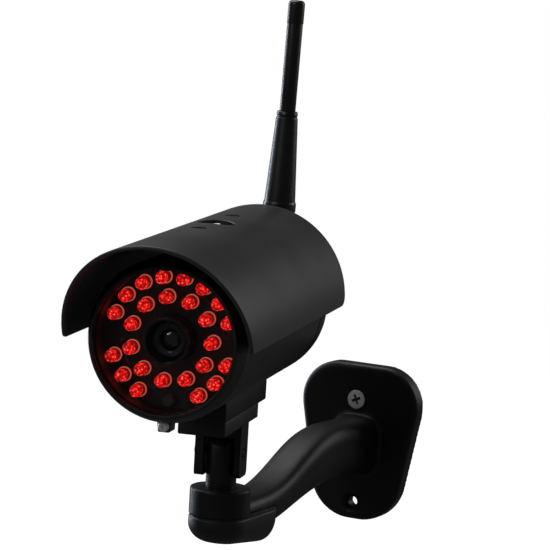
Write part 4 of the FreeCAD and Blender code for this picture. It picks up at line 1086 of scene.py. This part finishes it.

# ---- CAD nodes that stay: the right finish and rounded edges ----
SLOTS = {part["node"]: part["material_slot"] for part in frame["record"]["subparts"]}
for name, node in frame["nodes"].items():
    if name in REPLACED:
        continue
    for holder in node.material_slots:
        holder.material = FINISHES[SLOTS[name]].material
    weld = node.modifiers.new("weld", "WELD")
    weld.merge_threshold = 1e-6
    rounding = node.modifiers.new("round", "BEVEL")
    rounding.width = 0.15 * MM
    rounding.segments = 2
    rounding.limit_method = "ANGLE"
    rounding.angle_limit = math.radians(50)

# ---- Studio ----
FLOOR_DROP = 0.20
bm = bmesh.new()
bmesh.ops.create_grid(bm, x_segments=2, y_segments=2, size=9.0)
floor = from_bmesh("studio_floor", bm)
floor.location = (0, 0, CAD_BOX[0].z - FLOOR_DROP)
# the floor glows but other surfaces neither reflect it nor are lit by it, so black parts stay black
floor.visible_diffuse, floor.visible_glossy, floor.visible_transmission = False, False, False
floor_finish = Finish("studio_floor", (0.30, 0.30, 0.30), 0.8)
floor_finish.roughen(floor_finish.noise(120.0), 0.75, 0.85)
floor_finish.set("Emission Color", (1.0, 1.0, 1.0, 1.0)).set("Emission Strength", 0.97)
floor.data.materials.append(floor_finish.material)

scene = bpy.context.scene
scene.view_settings.view_transform = "Standard"
scene.view_settings.look = "None"
world = bpy.data.worlds.new("studio")
scene.world = world
world.use_nodes = True
nodes, links = world.node_tree.nodes, world.node_tree.links
backdrop = nodes["Background"]
backdrop.inputs["Color"].default_value = (1.0, 1.0, 1.0, 1.0)
backdrop.inputs["Strength"].default_value = 1.0
room = nodes.new("ShaderNodeBackground")
room.inputs["Color"].default_value = (1.0, 1.0, 1.0, 1.0)
room.inputs["Strength"].default_value = 0.08
path, blend = nodes.new("ShaderNodeLightPath"), nodes.new("ShaderNodeMixShader")
links.new(path.outputs["Is Camera Ray"], blend.inputs["Fac"])
links.new(room.outputs["Background"], blend.inputs[1])
links.new(backdrop.outputs["Background"], blend.inputs[2])
links.new(blend.outputs["Shader"], nodes["World Output"].inputs["Surface"])


def soft_light(name, place, aim, width, height, watts, tone=(1.0, 1.0, 1.0)):
    data = bpy.data.lights.new(name, "AREA")
    data.shape = "RECTANGLE"
    data.size, data.size_y = width, height
    data.energy = watts
    data.color = tone
    light = bpy.data.objects.new(name, data)
    scene.collection.objects.link(light)
    light.location = place
    light.rotation_mode = "QUATERNION"
    light.rotation_quaternion = (Vector(aim) - Vector(place)).to_track_quat("-Z", "Y")
    return light


CENTRE = (0.0, -0.14, 0.06)
soft_light("top", (-0.45, 0.10, 1.10), CENTRE, 0.8, 0.8, 6.0)
soft_light("left_strip", (-0.95, 0.10, 0.25), CENTRE, 0.18, 1.0, 7.0, (0.80, 0.88, 1.0))
soft_light("front_fill", (-0.35, -1.3, 0.75), CENTRE, 0.6, 0.5, 3.0)
soft_light("rear_fill", (0.7, 0.9, 0.5), CENTRE, 0.7, 0.7, 3.0)

# camera: 28 degrees to the right of the wall's normal and a little above, with a long lens
camera_data = bpy.data.cameras.new("view")
camera = bpy.data.objects.new("view", camera_data)
scene.collection.objects.link(camera)
CAMERA_PLACE = (0.58135, -1.19669, 0.24890)
AZIMUTH, ELEVATION, ROLL = math.radians(27.83), math.radians(7.52), math.radians(3.3)
across = Vector((math.cos(AZIMUTH), math.sin(AZIMUTH), 0))
level = math.cos(ELEVATION)
back = Vector((math.sin(AZIMUTH) * level, -math.cos(AZIMUTH) * level, math.sin(ELEVATION)))
upward = back.cross(across)
right_axis = across * math.cos(ROLL) + upward * math.sin(ROLL)
up_axis = upward * math.cos(ROLL) - across * math.sin(ROLL)
camera.matrix_world = Matrix.Translation(CAMERA_PLACE) @ Matrix(
    (right_axis, up_axis, back)).transposed().to_4x4()
camera_data.lens = 194.23
camera_data.sensor_width = 36.0
camera_data.clip_start, camera_data.clip_end = 0.05, 30.0
scene.camera = camera
